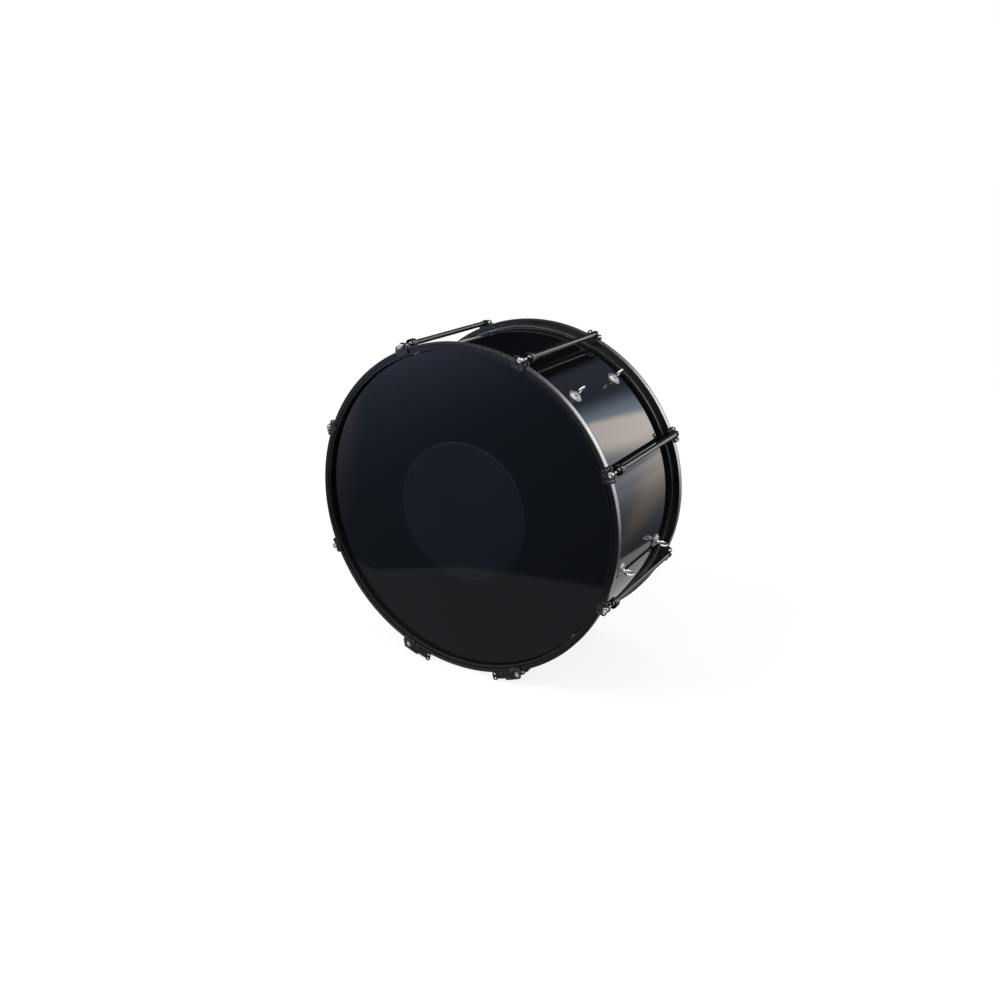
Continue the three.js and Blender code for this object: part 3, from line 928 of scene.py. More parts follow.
@dataclass
class Hoops:
    """The counter hoops: a ribbed bead with a groove for the claws' toes, and a skirt."""

    bead_inner: float = 0.3283
    bead_outer: float = 0.343
    bead_back: float = 0.149
    bead_front: float = 0.1635
    corner: float = 0.0012
    lip: float = 0.0006
    groove_inner: float = 0.3313
    groove_outer: float = 0.3343
    groove_depth: float = 0.003
    face_ribs: tuple[float, ...] = (0.3366, 0.3392)
    band_ribs: tuple[float, ...] = (0.1524, 0.1560, 0.1598)
    rib_half: float = 0.0004
    rib_depth: float = 0.0005
    hold: float = 0.0004
    dark_edge: float = 0.0015
    skirt_inner: float = 0.3323
    skirt_outer: float = 0.3345
    skirt_back: float = 0.13
    band_slack: float = 0.00015

    def outline(self) -> Outline:
        """The hoop's section, from the skirt's inner edge outwards and round the bead.

        Returns:
            The corners as radius and reach, with holding rings by the rounded edges.
        """
        low = (self.skirt_inner + self.lip, self.skirt_back + self.lip)
        high = (self.skirt_outer - self.lip, self.skirt_back + self.lip)
        points = [(self.skirt_inner, low[1] + self.hold), *arc(low, self.lip, 270, 180, 3),
                  *arc(high, self.lip, 180, 90, 3), (self.skirt_outer, high[1] + self.hold),
                  (self.skirt_outer, self.bead_back)]
        heel = (self.bead_outer - self.lip, self.bead_back + self.lip)
        points += [(heel[0] - self.hold, self.bead_back), *arc(heel, self.lip, 180, 90, 3),
                   (self.bead_outer, heel[1] + self.hold)]
        for reach in self.band_ribs:
            points += [(self.bead_outer, reach - self.rib_half),
                       (self.bead_outer - self.rib_depth, reach),
                       (self.bead_outer, reach + self.rib_half)]
        nose = (self.bead_outer - self.corner, self.bead_front - self.corner)
        points += [(self.bead_outer, nose[1] - self.hold), *arc(nose, self.corner, 90, 0, 4)]
        for radius in reversed(self.face_ribs):
            points += [(radius + self.rib_half, self.bead_front),
                       (radius, self.bead_front - self.rib_depth),
                       (radius - self.rib_half, self.bead_front)]
        floor = self.bead_front - self.groove_depth
        points += [(self.groove_outer, self.bead_front), (self.groove_outer, floor),
                   (self.groove_inner, floor), (self.groove_inner, self.bead_front)]
        lip = (self.bead_inner + self.lip, self.bead_front - self.lip)
        points += [(lip[0] + self.hold, self.bead_front), *arc(lip, self.lip, 0, -90, 3)]
        return [*points, (self.bead_inner, lip[1] - self.hold), (self.bead_inner, self.bead_back),
                (self.skirt_inner, self.bead_back)]

    def build(self) -> None:
        """Spins both hoops and dresses them, with the bead's outer band left bright."""
        for end in End:
            piece = ring(f"{end.word}_counter_hoop", self.outline(), end)
            dress(piece, HOOP_BLACK, "drum", f"{end.word}_hoop")
            piece.data.materials.append(HOOP_BRIGHT.material())
            back = self.bead_back + self.lip
            front = self.bead_front - self.corner - self.dark_edge
            for face in piece.data.polygons:
                spoke = face.center - AXIS
                reach = abs(spoke.y)
                spoke.y = 0
                outside = spoke.length > self.bead_outer - self.band_slack
                on_band = outside and back < reach < front
                if on_band and face.normal.dot(spoke.normalized()) > 0:
                    face.material_index = 1


@dataclass
class Lines:
    """The eight tension lines: a tube with a cup and a bright boss, a key screw in front and an
    anchor screw behind."""

    radius: float = 0.3495
    count: int = 8
    first_deg: float = 67.5
    feet: tuple[int, ...] = (4, 5)
    tube: float = 0.0053
    tube_break: float = 0.0005
    bore: float = 0.0033
    tube_rear: float = 0.1552
    cup: float = 0.0097
    cup_wall: float = 0.0014
    cup_front: float = 0.133
    cup_back: float = 0.119
    cup_depth: float = 0.008
    cup_taper: float = 0.004
    cup_flare: float = 0.0045
    boss: float = 0.0046
    boss_height: float = 0.006
    boss_round: float = 0.0014
    head: float = 0.0061
    head_front: float = 0.1668
    head_back: float = 0.1608
    head_break: float = 0.0003
    dome_radius: float = 0.0156
    dome_deg: float = 22.5
    socket: float = 0.0029
    socket_depth: float = 0.0036
    shank: float = 0.003
    shank_break: float = 0.0008
    thread_pitch: float = 0.001
    thread_depth: float = 0.0004
    thread_share: float = 0.4
    key_shank: float = 0.06
    anchor_shank: float = 0.034
    steps: int = 40

    def angles(self) -> dict[int, float]:
        """Each line's number and angle, clockwise from the front."""
        return {n + 1: self.first_deg - n * 360 / self.count for n in range(self.count)}

    def spun(self, name: str, outline: Outline, closed: bool = True) -> Piece:
        """Spins an outline of radius and reach round the top line, at the drum's front.

        Args:
            name: The piece's name.
            outline: The outline.
            closed: Whether it is a closed loop.

        Returns:
            The piece.
        """
        points = [at_top(0, wide, reach, self.radius) for wide, reach in outline]
        return Bench.spun(name, points, at_top(0, 0, 0, self.radius), ALONG, self.steps, closed)

    def tube_pattern(self) -> Piece:
        """The tube with its belled cup.

        Returns:
            The pattern.
        """
        floor = self.cup_front - self.cup_depth
        lip = self.cup_wall / 2
        bell = arc((self.cup - self.cup_taper, self.cup_back), self.cup_taper, 180, 90, 5)
        rim = arc((self.cup - lip, self.cup_front - lip), lip, 90, -90, 6)
        outline = [(self.bore, -self.tube_rear), (self.tube - self.tube_break, -self.tube_rear),
                   (self.tube, -self.tube_rear + self.tube_break),
                   (self.tube, self.cup_back - self.cup_flare),
                   *bell, *rim, (self.cup - self.cup_wall, floor), (self.bore, floor)]
        return self.spun("tube_pattern", outline)

    def boss_pattern(self) -> Piece:
        """The bright boss in the cup, which the key screw runs into.

        Returns:
            The pattern.
        """
        floor = self.cup_front - self.cup_depth
        top = floor + self.boss_height
        edge = (self.boss - self.boss_round, top - self.boss_round)
        outline = [(self.bore, floor), (self.boss, floor), (self.boss, edge[1]),
                   *arc(edge, self.boss_round, 90, 0, 4), (self.bore, top)]
        return self.spun("boss_pattern", outline)

    def screw_pattern(self, name: str, shank_length: float) -> Piece:
        """A socket-head screw, domed a little, with a threaded end.

        Args:
            name: The pattern's name.
            shank_length: How long its shank is.

        Returns:
            The pattern.
        """
        end = self.head_back - shank_length
        thread = []
        for ridge in range(int(self.thread_share * shank_length / self.thread_pitch)):
            start = end + self.shank_break + ridge * self.thread_pitch
            thread += [(self.shank - self.thread_depth, start),
                       (self.shank, start + self.thread_pitch / 2)]
        middle = (0.0, self.head_front - self.dome_radius)
        dome = arc(middle, self.dome_radius, self.dome_deg, 0, 5)[:-1]
        outline = [(0.0, end), (self.shank - self.shank_break, end), *thread,
                   (self.shank, self.head_back), (self.head - self.head_break, self.head_back),
                   (self.head, self.head_back + self.head_break), *dome, (0.0, self.head_front)]
        screw = self.spun(name, outline, closed=False)
        Bench.drill(screw, at_top(0, 0, self.head_front - self.socket_depth, self.radius),
                    Vector((0, -2 * self.socket_depth, 0)), self.socket, 6)
        return Bench.finish_mesh(screw)

    def build(self) -> None:
        """Makes one of each piece at the top, copies it round the drum and dresses the copies."""
        tube, boss = self.tube_pattern(), self.boss_pattern()
        key = self.screw_pattern("key_pattern", self.key_shank)
        anchor = self.screw_pattern("anchor_pattern", self.anchor_shank)
        for number, degrees in self.angles().items():
            place = round_drum(degrees)
            piece = Bench.copy(tube, f"tube_{number}", place)
            dress(piece, TUBE_BLACK, "drum", f"tension_tube_{number}")
            piece = Bench.copy(boss, f"tube_boss_{number}", place)
            dress(piece, STEEL, "drum", f"tension_tube_{number}")
            piece = Bench.copy(key, f"key_{number}_screw", place)
            dress(piece, STEEL, f"key_{number}", f"key_screw_{number}")
            piece = Bench.copy(anchor, f"anchor_{number}_screw", other_end(End.REAR) @ place)
            dress(piece, STEEL, "drum", f"anchor_screw_{number}")
        for pattern in (tube, boss, key, anchor):
            Bench.drop(pattern)


@dataclass
class Claws:
    """The claws that hook in the hoops' grooves, and the four that end in a foot."""

    lines: Lines
    hoops: Hoops
    plate: float = 0.003
    plate_half: float = 0.014
    plate_corner: float = 0.004
    plate_gap: float = 0.0003
    loop: float = 0.007
    loop_front: float = 0.1605
    loop_length: float = 0.005
    saddle_wall: float = 0.002
    saddle_half: float = 0.0164
    ear: float = 0.005
    ear_bore: float = 0.003
    ear_offset: float = 0.0115
    ear_slot: float = 0.0018
    slot_deg: float = 45.0
    ear_top_deg: float = -60.0
    neck_deg: float = 75.0
    toe: float = 0.0015
    toe_reach: float = 0.0026
    toe_half: float = 0.011
    notch: float = 0.0066
    bridge_inset: float = 0.0004
    sweep_deg: float = 8.8
    foot_overlap: float = 0.003
    foot_depth: float = 0.015
    heel_step: float = 0.0035
    heel_deg: float = 4.6
    heel_back_deg: float = 0.9
    lobe: float = 0.0048
    lobe_tuck: float = 0.87
    shoulder_deg: float = -50.0
    hole: float = 0.0026
    hole_pitch: float = 0.0097
    flat_cut: float = 0.0012
    floor_deg: float = 22.5
    edge: float = 0.0003

    @property
    def saddle_inner(self) -> float:
        """The radius of the saddle's underside."""
        return self.hoops.bead_outer + self.plate_gap

    @property
    def plate_back(self) -> float:
        """The plate's back face, from the drum's middle."""
        return self.hoops.bead_front + self.plate_gap

    @property
    def plate_bottom(self) -> float:
        """The plate's lower edge, from the line."""
        groove = self.hoops.groove_outer - self.hoops.groove_inner
        return self.hoops.groove_inner + (groove - self.toe) / 2 - self.lines.radius

    def round_axis(self, radius: float, degrees: float) -> tuple[float, float]:
        """A point at a radius of the drum, an angle off the line, measured from the line.

        Args:
            radius: The radius.
            degrees: The angle.

        Returns:
            Its distance across and out.
        """
        angle = math.radians(degrees)
        return radius * math.sin(angle), radius * math.cos(angle) - self.lines.radius

    @staticmethod
    def span(half: float, radius: float) -> float:
        """The angle in degrees that a half width spans at a radius."""
        return math.degrees(math.asin(half / radius))

    def plate_of(self, name: str, outline: Outline, low: float, high: float) -> Piece:
        """An outline of across and out, made thick between two reaches at the top line.

        Args:
            name: The piece's name.
            outline: The outline.
            low: The nearer reach.
            high: The farther reach.

        Returns:
            The piece.
        """
        points = [at_top(across, out, low, self.lines.radius) for across, out in outline]
        return Bench.slab(name, points, Vector((0, low - high, 0)))

    def ear_outline(self) -> Outline:
        """The right ear, curled round its bore with a slot at its outer side.

        Returns:
            The corners.
        """
        centre = (self.ear_offset, self.saddle_inner + self.ear - self.lines.radius)
        outer = self.span(self.ear_slot / 2, self.ear)
        inner = self.span(self.ear_slot / 2, self.ear_bore)
        return [*arc(centre, self.ear, 90, self.slot_deg + outer, 2),
                *arc(centre, self.ear_bore, self.slot_deg + inner, self.slot_deg + 360 - inner, 16),
                *arc(centre, self.ear, self.slot_deg - outer, self.ear_top_deg, 8)]

    def body_outline(self) -> Outline:
        """The saddle on the bead with the loop between its two ears.

        Returns:
            The corners.
        """
        drum = (0.0, -self.lines.radius)
        reach = self.span(self.saddle_half, self.saddle_inner)
        ear = self.ear_outline()
        return [*arc(drum, self.saddle_inner, -reach, reach, 6), *ear,
                *arc((0.0, 0.0), self.loop, self.neck_deg, -self.neck_deg, 12),
                *[(-across, out) for across, out in reversed(ear)]]

    def plain_outline(self) -> Outline:
        """The plate before the hoop, with a notch round the screw's head.

        Returns:
            The corners.
        """
        top = self.saddle_inner + self.saddle_wall - self.lines.radius
        toe_half = self.plate_half - self.plate_corner
        notch_deg = math.degrees(math.acos(top / self.notch))
        right = [(toe_half, self.plate_bottom),
                 (self.plate_half, self.plate_bottom + self.plate_corner), (self.plate_half, top)]
        left = [(-across, out) for across, out in reversed(right)]
        return [*right, *arc((0.0, 0.0), self.notch, notch_deg, 360 - notch_deg, 14), *left]

    def foot_outline(self) -> Outline:
        """The foot's plate, which runs on to the right and ends in a lobe.

        Returns:
            The corners.
        """
        drum = (0.0, -self.lines.radius)
        inner = self.hoops.bead_outer - self.foot_overlap
        outer = inner + self.foot_depth
        heel = outer + self.heel_step
        top = self.saddle_inner + self.saddle_wall - self.lines.radius
        toe_half = self.plate_half - self.plate_corner
        low_lobe = self.round_axis(inner + self.lobe, self.sweep_deg)
        high_lobe = self.round_axis(inner + self.lobe + self.hole_pitch, self.sweep_deg)
        flat = math.degrees(math.acos((self.lobe - self.flat_cut) / self.lobe))
        side = self.sweep_deg + 90
        blade_end = self.sweep_deg - self.span(self.lobe * self.lobe_tuck, inner)
        down = self.floor_deg
        return [(-toe_half, self.plate_bottom), (toe_half, self.plate_bottom),
                (self.plate_half, self.plate_bottom + self.plate_corner),
                *arc(drum, inner, self.span(self.plate_half, inner), blade_end, 4),
                *arc(low_lobe, self.lobe, side + 90, side, 5),
                *arc(high_lobe, self.lobe, side, down + flat, 3),
                *arc(high_lobe, self.lobe, down - flat, self.shoulder_deg, 4),
                *arc(drum, outer, blade_end, self.heel_deg, 4),
                *arc(drum, heel, self.heel_deg, -self.heel_back_deg, 5),
                (-self.plate_half, top), (-self.plate_half, self.plate_bottom + self.plate_corner)]

    def block(self, name: str, across: tuple[float, float], out: tuple[float, float],
              reach: tuple[float, float]) -> Piece:
        """A rectangular bar at the top line.

        Args:
            name: The piece's name.
            across: Its two sides.
            out: Its underside and top.
            reach: Its near and far ends.

        Returns:
            The piece.
        """
        outline = [(across[0], out[0]), (across[1], out[0]), (across[1], out[1]), (across[0], out[1])]
        return self.plate_of(name, outline, *reach)

    def claw_pattern(self, name: str, plate: Outline) -> Piece:
        """A whole claw with the given plate: body, two bridges, plate and toe.

        Args:
            name: The pattern's name.
            plate: The plate's outline.

        Returns:
            The pattern.
        """
        loop_back = self.loop_front - self.loop_length
        claw = self.plate_of(name, self.body_outline(), loop_back, self.loop_front)
        front = self.plate_back + self.plate
        parts = [self.plate_of("plate", plate, self.plate_back, front)]
        low = self.saddle_inner - self.lines.radius
        inner = self.notch + self.bridge_inset
        middle = (self.loop_front + loop_back) / 2, self.plate_back + self.plate / 2
        for side in ((inner, self.plate_half), (-self.plate_half, -inner)):
            parts.append(self.block("bridge", side, (low, low + self.saddle_wall), middle))
        toe_ends = (self.plate_back - self.toe_reach, self.plate_back + self.plate / 2)
        parts.append(self.block("toe", (-self.toe_half, self.toe_half),
                                (self.plate_bottom, self.plate_bottom + self.toe), toe_ends))
        for part in parts:
            Bench.combine(claw, part, "UNION")
        Bench.drill(claw, at_top(0, 0, loop_back - MM, self.lines.radius),
                    Vector((0, -self.loop_length - 1.5 * MM, 0)), self.lines.bore)
        return claw

    def foot_pattern(self) -> Piece:
        """The right-hand foot claw with its two lobe holes and the hole for the screw's head.

        Returns:
            The pattern.
        """
        claw = self.claw_pattern("foot_pattern", self.foot_outline())
        inner = self.hoops.bead_outer - self.foot_overlap + self.lobe
        for radius in (inner, inner + self.hole_pitch):
            across, out = self.round_axis(radius, self.sweep_deg)
            Bench.drill(claw, at_top(across, out, self.plate_back - MM, self.lines.radius),
                        Vector((0, -self.plate - 2 * MM, 0)), self.hole)
        Bench.drill(claw, at_top(0, 0, self.plate_back - MM / 4, self.lines.radius),
                    Vector((0, -self.plate - 2 * MM, 0)), self.notch)
        return claw

    def build(self) -> None:
        """Makes both patterns at the top, copies them round the drum and dresses the copies."""
        plain = Bench.soften(self.claw_pattern("claw_pattern", self.plain_outline()), self.edge)
        foot = Bench.soften(self.foot_pattern(), self.edge)
        for number, degrees in self.lines.angles().items():
            is_foot = number in self.lines.feet
            pattern = foot if is_foot else plain
            hand = Matrix.Identity(4)
            if is_foot and number == self.lines.feet[-1]:
                hand = (Matrix.Translation(AXIS) @ Matrix.Scale(-1, 4, Vector((1, 0, 0)))
                        @ Matrix.Translation(-AXIS))
            for end in End:
                kind = "foot_claw" if is_foot else "claw"
                place = other_end(end) @ round_drum(degrees) @ hand
                piece = Bench.copy(pattern, f"{end.word}_{kind}_{number}_made", place)
                dress(piece, CLAW_COAT, "drum", f"{end.word}_{kind}_{number}")
        Bench.drop(plain)
        Bench.drop(foot)


@dataclass
class EyeScrews:
    """Four eye screws, each with its rosette, and the threaded plate behind each pair."""

    spacing: float = 0.176
    rows: dict[str, float] = field(default_factory=lambda: {"upper": 49.9, "lower": -13.8})
    wire: float = 0.0022
    loop: float = 0.0085
    loop_centre: float = 0.3454
    shank: float = 0.003
    shank_break: float = 0.0005
    shank_end: float = 0.313
    neck: float = 0.0042
    neck_break: float = 0.0003
    neck_round: float = 0.0012
    neck_set: float = 0.0008
    neck_height: float = 0.0015
    seat: float = 0.3332
    rosette: float = 0.014
    rosette_base: float = 0.3273
    rosette_rim: float = 0.0016
    rosette_break: float = 0.0004
    rosette_brim: float = 0.0012
    rosette_top: float = 0.0075
    rosette_height: float = 0.0056
    bore: float = 0.0033
    steps: int = 48

    def screw_pattern(self) -> Piece:
        """The ring on its neck, with a shank below.

        Returns:
            The pattern.
        """
        neck_top = self.seat + self.neck_height + self.wire
        hollow = (self.neck, self.seat + self.neck_height + self.neck_set)
        outline = [(0.0, self.shank_end), (self.shank - self.shank_break, self.shank_end),
                   (self.shank, self.shank_end + self.shank_break), (self.shank, self.seat),
                   (self.neck - self.neck_break, self.seat),
                   (self.neck, self.seat + self.neck_break),
                   *arc(hollow, self.neck_round, 180, 270, 4),
                   (self.wire, neck_top), (0.0, neck_top)]
        screw = stem("eye_pattern", outline, self.steps, closed=False)
        section = arc((0.0, self.loop_centre + self.loop), self.wire, 0, 360, 20)[:-1]
        corners = [AXIS + Vector((across, 0, height)) for across, height in section]
        loop = Bench.spun("ring", corners, AXIS + UP * self.loop_centre, Vector((1, 0, 0)),
                          self.steps)
        Bench.combine(screw, loop, "UNION")
        return Bench.finish_mesh(screw, smooth_deg=50)

    def rosette_pattern(self) -> Piece:
        """The domed washer under the eye screw, with a flat rim.

        Returns:
            The pattern.
        """
        rim = self.rosette_base + self.rosette_rim
        foot = self.rosette - self.rosette_brim
        steps = 6
        dome = []
        for share in (step / steps for step in range(steps + 1)):
            height = (self.rosette_height - self.rosette_rim) * math.sin(share * math.pi / 2)
            dome.append((foot - (foot - self.rosette_top) * share, rim + height))
        outline = [(self.bore, self.rosette_base), (self.rosette, self.rosette_base),
                   (self.rosette, rim - self.rosette_break), (self.rosette - self.rosette_break, rim),
                   *dome, (self.bore, self.rosette_base + self.rosette_height)]
        return stem("rosette_pattern", outline, self.steps)

    def build(self) -> None:
        """Copies the patterns to the four places and dresses them, and the plates inside."""
        screw, rosette = self.screw_pattern(), self.rosette_pattern()
        for row, degrees in self.rows.items():
            for end in End:
                spot = f"{row}_{end.word}"
                slide = Matrix.Translation((0, end.value * self.spacing / 2, 0))
                place = round_drum(degrees) @ slide
                piece = Bench.copy(screw, f"eye_ring_{spot}", place)
                dress(piece, STEEL, f"eye_{spot}", f"eye_screw_{spot}")
                piece = Bench.copy(rosette, f"rosette_cap_{spot}", place)
                dress(piece, SATIN, f"rosette_{spot}", f"eye_rosette_{spot}")
            ALLOY.on(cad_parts[f"eye_plate_{row}"])
        Bench.drop(screw)
        Bench.drop(rosette)


@dataclass
class Vent:
    """The grommet in the hidden side, which lets air out of the shell."""

    degrees: float = 180.0
    bore: float = 0.005
    core: float = 0.0064
    flange: float = 0.0095
    flange_thickness: float = 0.0012
    outer: float = 0.3273
    inner: float = 0.321
    steps: int = 40

    def build(self) -> None:
        """Spins the grommet at the top, turns it to its place and dresses it."""
        edge = self.flange_thickness / 2
        out, low = self.outer, self.inner - self.flange_thickness
        outline = [(self.bore, low), (self.flange, low), (self.flange, self.inner),
                   (self.core, self.inner), (self.core, out), (self.flange, out),
                   *arc((self.flange - edge, out + edge), edge, 90, 0, 4),
                   *arc((self.bore + edge, out + edge), edge, 0, -90, 4)]
        pattern = stem("grommet_pattern", outline, self.steps)
        piece = Bench.copy(pattern, "vent_ring", round_drum(self.degrees))
        dress(piece, STEEL, "drum", "vent_grommet")
        Bench.drop(pattern)


@dataclass
class Studio:
    """The floor, the soft light and the room that polished surfaces show. To gloss, the floor glows
    with painted light: a lit table top and the ground round it. A ramp says over which stretch one
    look gives way to the next."""

    floor_half: float = 30.0
    white: Colour = (1.0, 1.0, 1.0)
    black: Colour = (0.0, 0.0, 0.0)
    even_light: Colour = (0.72, 0.72, 0.72)
    behind: Ramp = (0.0, 0.05)
    front_low: Colour = (0.35, 0.37, 0.42)
    front_high: Colour = (2.2, 2.2, 2.2)
    front_rise: Ramp = (0.0, 0.55)
    left_strip: Colour = (2.4, 2.35, 2.25)
    left_at: float = -0.93
    left_fade: Ramp = (0.0, 0.04, 1.0, 0.0)
    near: float = 0.01
    room_dark: Colour = (0.002, 0.002, 0.005)
    room_blue: Colour = (0.13, 0.16, 0.21)
    room_grey: Colour = (1.4, 1.5, 1.66)
    room_edge: Ramp = (-0.07, 0.01)
    room_top: Ramp = (-0.02, 0.2, 0.36, 0.0)
    streak_colour: Colour = (0.16, 0.17, 0.18)
    streaks: tuple[tuple[float, float, float], ...] = ((-0.15, 0.03, 0.4), (-0.28, 0.04, 1.0))
    strip_low: float = 0.385
    strip_low_soft: float = 0.018
    strip_low_lean: float = 0.14
    strip_high: float = 0.50
    strip_high_soft: tuple[float, float] = (0.035, 0.03)
    strip_high_lean: float = 0.08
    strip_pivot: float = 0.36
    strip_colour: Colour = (4.1, 3.7, 3.35)
    strip_glow: Colour = (1.2, 1.5, 1.9)
    glow_start: float = 0.18
    glow_power: float = 2.2
    head_plane: float = -0.1535
    plane_soft: float = 0.004
    table_front: Spot = (0.1645, 0.9864, 0.6545)
    table_corner: Spot = (0.5735, 0.8192, 0.6656)
    table_hook: Spot = (-0.316, 0.949, 0.301)
    table_right: Spot = (-0.955, -0.295, 0.5632)
    table_edge: float = 0.012
    # Painted light: how brightly the table top glows to gloss, dimmer in front of the head as if less
    # lit.
    table_glow: Colour = (0.5, 0.52, 0.49)
    table_glow_front: Colour = (0.27, 0.28, 0.3)
    # Painted light: the glow of the floor beyond the table, to gloss, brighter farther back.
    ground_glow: float = 0.11
    ground_from: float = 0.75
    ground_over: float = 2.6
    ground_rises: tuple[Ramp, Ramp] = ((-2.0, 1.0, 0.5, 1.25), (2.5, 9.0, 1.0, 1.4))
    # Painted light: the glow of the floor in front of the head, to gloss, brighter to the left.
    left_glow: float = 0.1
    left_gain: float = 0.05
    left_steep: float = 0.02
    left_power: float = 4.0
    left_limit: float = 0.6
    left_gains: tuple[tuple[float, float], ...] = ((1.0, 0.02), (1.25, 0.03), (1.8, 0.06))
    # A warm stripe of painted reflection on the floor, to gloss.
    stripe: tuple[float, float] = (0.81, -0.59)
    stripe_tint: Colour = (1.0, 0.8, 0.68)
    stripe_near: Ramp = (-0.27, -0.16, 1.0, 0.0)
    stripe_far: Ramp = (-0.36, -0.27)
    stripe_gain: float = 0.08
    stripe_power: float = 2.4
    stripe_limit: float = 0.8
    # A warm lane of painted light on the floor behind the drum, to gloss.
    lane: tuple[float, float] = (0.3, 0.46)
    lane_near: float = 0.1
    lane_in: float = 0.13
    lane_out: tuple[float, float] = (0.02, 0.1)
    lane_gains: tuple[Colour, ...] = ((0.68, 1.3, 0.62), (0.76, 1.16, 0.66), (0.88, 1.04, 0.76))
    floor_matt: float = 0.6
    floor_lit: float = 0.2
    floor_glow: float = 0.86
    lamp_at: Spot = (-1.4, -1.8, 2.8)
    lamp_size: float = 1.6
    lamp_power: float = 42

    def room(self, nodes: Nodes, x: Value, y: Value, z: Value) -> Value:
        """What the shell shows of the room: dark, blue, a bright leaning strip, then grey.

        Args:
            nodes: The world's nodes.
            x: The direction's X.
            y: Its Y.
            z: Its Z.

        Returns:
            The colour.
        """
        depth = y.at_least(self.near)
        slant = x / depth
        rise = z / depth
        colour = nodes.mix(slant.spread(*self.room_edge), self.room_dark, self.room_blue)
        for place, half, strength in self.streaks:
            streak = abs(slant - place).spread(0.0, half, strength, 0.0)
            colour = nodes.mix(streak, colour, self.streak_colour)
        glow = slant.spread(self.glow_start, self.strip_low) ** self.glow_power
        colour = nodes.mix(glow, colour, self.strip_glow)
        leaning = slant + (rise - self.strip_pivot) * self.strip_low_lean
        into = leaning.spread(self.strip_low - self.strip_low_soft,
                              self.strip_low + self.strip_low_soft)
        colour = nodes.mix(into, colour, self.strip_colour)
        leaning = slant - rise * self.strip_high_lean
        past = leaning.spread(self.strip_high - self.strip_high_soft[0],
                              self.strip_high + self.strip_high_soft[1])
        colour = nodes.mix(past, colour, self.room_grey)
        return nodes.mix(rise.spread(*self.room_top), colour, self.black)

    def world(self) -> None:
        """Builds the world: white to the camera, a quiet room to gloss, even light to the rest."""
        world = bpy.data.worlds.new("studio_room")
        bpy.context.scene.world = world
        world.use_nodes = True
        nodes = Nodes(world.node_tree)
        x, y, z = nodes.parts(nodes.value("TexCoord", output="Generated"))
        front = nodes.mix(z.spread(*self.front_rise), self.front_low, self.front_high)
        left = abs(x - self.left_at).spread(*self.left_fade)
        front = nodes.mix(left, front, self.left_strip)
        room = nodes.mix(y.spread(*self.behind), front, self.room(nodes, x, y, z))
        colour = nodes.mix(nodes.shiny(), self.even_light, room)
        camera = nodes.value("LightPath", output="Is Camera Ray")
        colour = nodes.mix(camera, colour, self.white)
        nodes.add("OutputWorld", {"Surface": nodes.value("Background", {"Color": colour})})

    def floor(self) -> None:
        """Adds the floor: white to the camera but for the shadow, and to gloss a glow of painted
        light, a lit table top and ground.
        """
        Bench.clear()
        bpy.ops.mesh.primitive_plane_add(size=2 * self.floor_half, location=(0, 0, 0))
        floor = Bench.named("studio_floor")
        material = bpy.data.materials.new("pale_floor")
        material.use_nodes = True
        floor.data.materials.append(material)
        nodes = Nodes(material.node_tree)
        x, y, _ = nodes.parts(nodes.value("TexCoord", output="Object"))
        corner = self.on_table(x, y, self.table_corner).at_least(self.on_table(x, y, self.table_hook))
        table = self.on_table(x, y, self.table_front) * self.on_table(x, y, self.table_right) * corner
        behind = y.spread(self.head_plane - self.plane_soft, self.head_plane + self.plane_soft)
        far = (x ** 2.0 + y ** 2.0).root()
        # Painted light: to gloss the ground beyond the table glows, brighter to the left in front and
        # along a warm lane behind.
        ground = nodes.mix(behind, self.front_ground(nodes, x, y, far),
                           self.back_ground(nodes, x, y, far))
        # Painted light: to gloss the table top glows, dimmer in front of the head than behind it.
        painted_table_glow = nodes.mix(behind, self.table_glow_front, self.table_glow)
        mirror = nodes.value("Emission", {"Color": nodes.mix(table, ground, painted_table_glow)})
        matt = nodes.value("BsdfDiffuse", {"Color": (*[self.floor_matt] * 3, 1.0)})
        lit = nodes.value("BsdfDiffuse", {"Color": (*[self.floor_lit] * 3, 1.0)})
        glow = nodes.value("Emission", {"Color": (*self.white, 1.0), "Strength": self.floor_glow})
        shown = nodes.value("AddShader", {0: lit, 1: glow})
        other = nodes.value("MixShader", {0: nodes.shiny(), 1: matt, 2: mirror})
        camera = nodes.value("LightPath", output="Is Camera Ray")
        whole = nodes.value("MixShader", {0: camera, 1: other, 2: shown})
        nodes.add("OutputMaterial", {"Surface": whole})

    def front_ground(self, nodes: Nodes, x: Value, y: Value, far: Value) -> Value:
        """Painted light that the head shows beyond the table: a glow, brighter and bluer to the left,
        with a warm stripe of painted reflection.

        Args:
            nodes: The floor's nodes.
            x: The point's X.
            y: The point's Y.
            far: The point's distance from the middle.

        Returns:
            The colour.
        """
        left = (x * -1.0).at_least(0.0)
        tone = left * self.left_gain + self.left_glow + left ** self.left_power * self.left_steep
        tone = tone.at_most(self.left_limit)
        along = x * self.stripe[0] + y * self.stripe[1]
        stripe = along.spread(*self.stripe_near) * along.spread(*self.stripe_far)
        glow = (far ** self.stripe_power * self.stripe_gain).at_most(self.stripe_limit) * stripe
        channels = {}
        for index, (gain, less) in enumerate(self.left_gains):
            channels[index] = tone * gain - less + glow * self.stripe_tint[index]
        return nodes.value("CombineColor", channels)

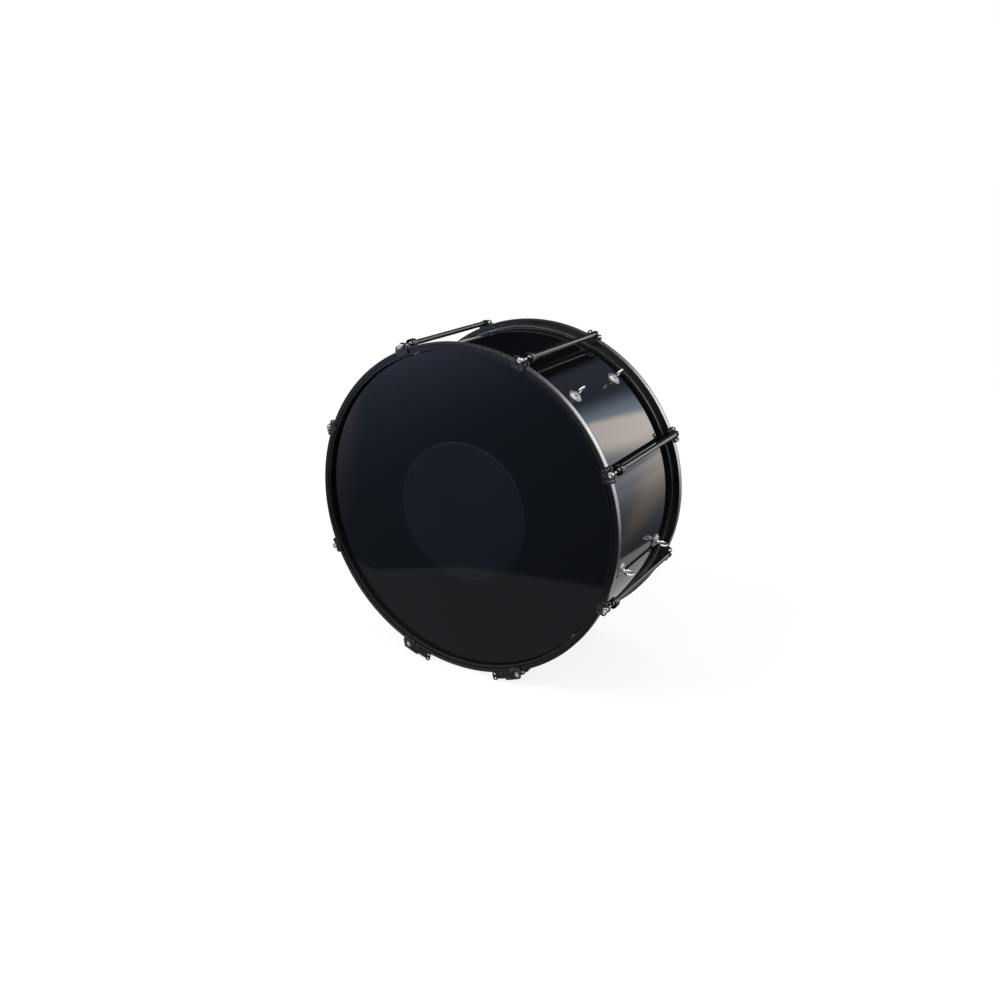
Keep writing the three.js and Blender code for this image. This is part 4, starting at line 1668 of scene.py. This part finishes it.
    def back_ground(self, nodes: Nodes, x: Value, y: Value, far: Value) -> Value:
        """Painted light that the shell shows of the floor: a glow, brighter farther back, with a warm
        lane that runs off to the back, cooler beside it.

        Args:
            nodes: The floor's nodes.
            x: The point's X.
            y: The point's Y.
            far: The point's distance from the middle.

        Returns:
            The colour.
        """
        lift = ((far - self.ground_from) / self.ground_over).at_least(0.0).at_most(1.0)
        rise = y.spread(*self.ground_rises[0]) * y.spread(*self.ground_rises[1])
        tone = lift * rise + self.ground_glow
        start, edge = self.lane
        slant = (x - start) / y.at_least(self.lane_near)
        into = slant.spread(edge - self.lane_in, edge)
        past = slant.spread(edge + self.lane_out[0], edge + self.lane_out[1])
        channels = {}
        for index, (before, within, beyond) in enumerate(self.lane_gains):
            gain = into * (within - before) + before + past * (beyond - within)
            channels[index] = tone * gain
        return nodes.value("CombineColor", channels)

    def on_table(self, x: Value, y: Value, edge: Spot) -> Value:
        """Which side of a straight edge of the table top a point lies on.

        Args:
            x: The point's X.
            y: The point's Y.
            edge: The direction towards the table's middle, and the edge's distance from it.

        Returns:
            1 on the table and 0 off it.
        """
        along = x * edge[0] + y * edge[1]
        return along.spread(-edge[2] - self.table_edge, -edge[2] + self.table_edge)

    def lamp(self) -> None:
        """Adds one large soft lamp above the left front. Gloss doesn't show it."""
        Bench.clear()
        bpy.ops.object.light_add(type="AREA", location=self.lamp_at)
        lamp = bpy.context.object
        lamp.name = "soft_lamp"
        lamp.data.shape = "DISK"
        lamp.data.size = self.lamp_size
        lamp.data.energy = self.lamp_power
        lamp.rotation_euler = (AXIS - lamp.location).to_track_quat("-Z", "Y").to_euler()
        lamp.visible_glossy = False

    def build(self) -> None:
        """Builds world, floor and lamp."""
        self.world()
        self.floor()
        self.lamp()
        LOG.info("studio made")


@dataclass
class PictureCamera:
    """The camera that looks at the drum as the photograph does. Pixels are of its 1000."""

    azimuth_deg: float = 30.0136
    elevation_deg: float = 18.8049
    roll_deg: float = 0.221
    distance: float = 2.1829
    focal_px: float = 1027.4242
    middle_px: tuple[float, float] = (1.0789, -8.9238)
    frame_px: float = 1000.0
    sensor_mm: float = 36.0

    def build(self) -> None:
        """Adds the camera and makes it the scene's."""
        azimuth, elevation = math.radians(self.azimuth_deg), math.radians(self.elevation_deg)
        back = Vector((math.sin(azimuth) * math.cos(elevation),
                       -math.cos(azimuth) * math.cos(elevation), math.sin(elevation)))
        right = Vector((0, 0, 1)).cross(back).normalized()
        up = back.cross(right)
        turn = Matrix((right, up, back)).transposed() @ Matrix.Rotation(
            math.radians(self.roll_deg), 3, "Z")
        data = bpy.data.cameras.new("picture_camera")
        data.sensor_width = self.sensor_mm
        data.lens = self.focal_px / self.frame_px * self.sensor_mm
        data.shift_x = -self.middle_px[0] / self.frame_px
        data.shift_y = self.middle_px[1] / self.frame_px
        camera = bpy.data.objects.new("picture_camera", data)
        bpy.context.scene.collection.objects.link(camera)
        camera.matrix_world = Matrix.Translation(AXIS + back * self.distance) @ turn.to_4x4()
        bpy.context.scene.camera = camera
        LOG.info("camera placed")


def main() -> None:
    """Builds the camera, the studio and every sub-assembly."""
    logging.basicConfig(level=logging.INFO, format="%(name)s: %(message)s")
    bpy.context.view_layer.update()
    bpy.context.scene.view_settings.view_transform = "Standard"
    PictureCamera().build()
    Studio().build()
    eyes, vent, lines, hoops = EyeScrews(), Vent(), Lines(), Hoops()
    Shell().build(eyes, vent)
    Heads().build()
    hoops.build()
    lines.build()
    Claws(lines, hoops).build()
    eyes.build()
    vent.build()
    Bench.clear()


if __name__ == "__main__":
    main()
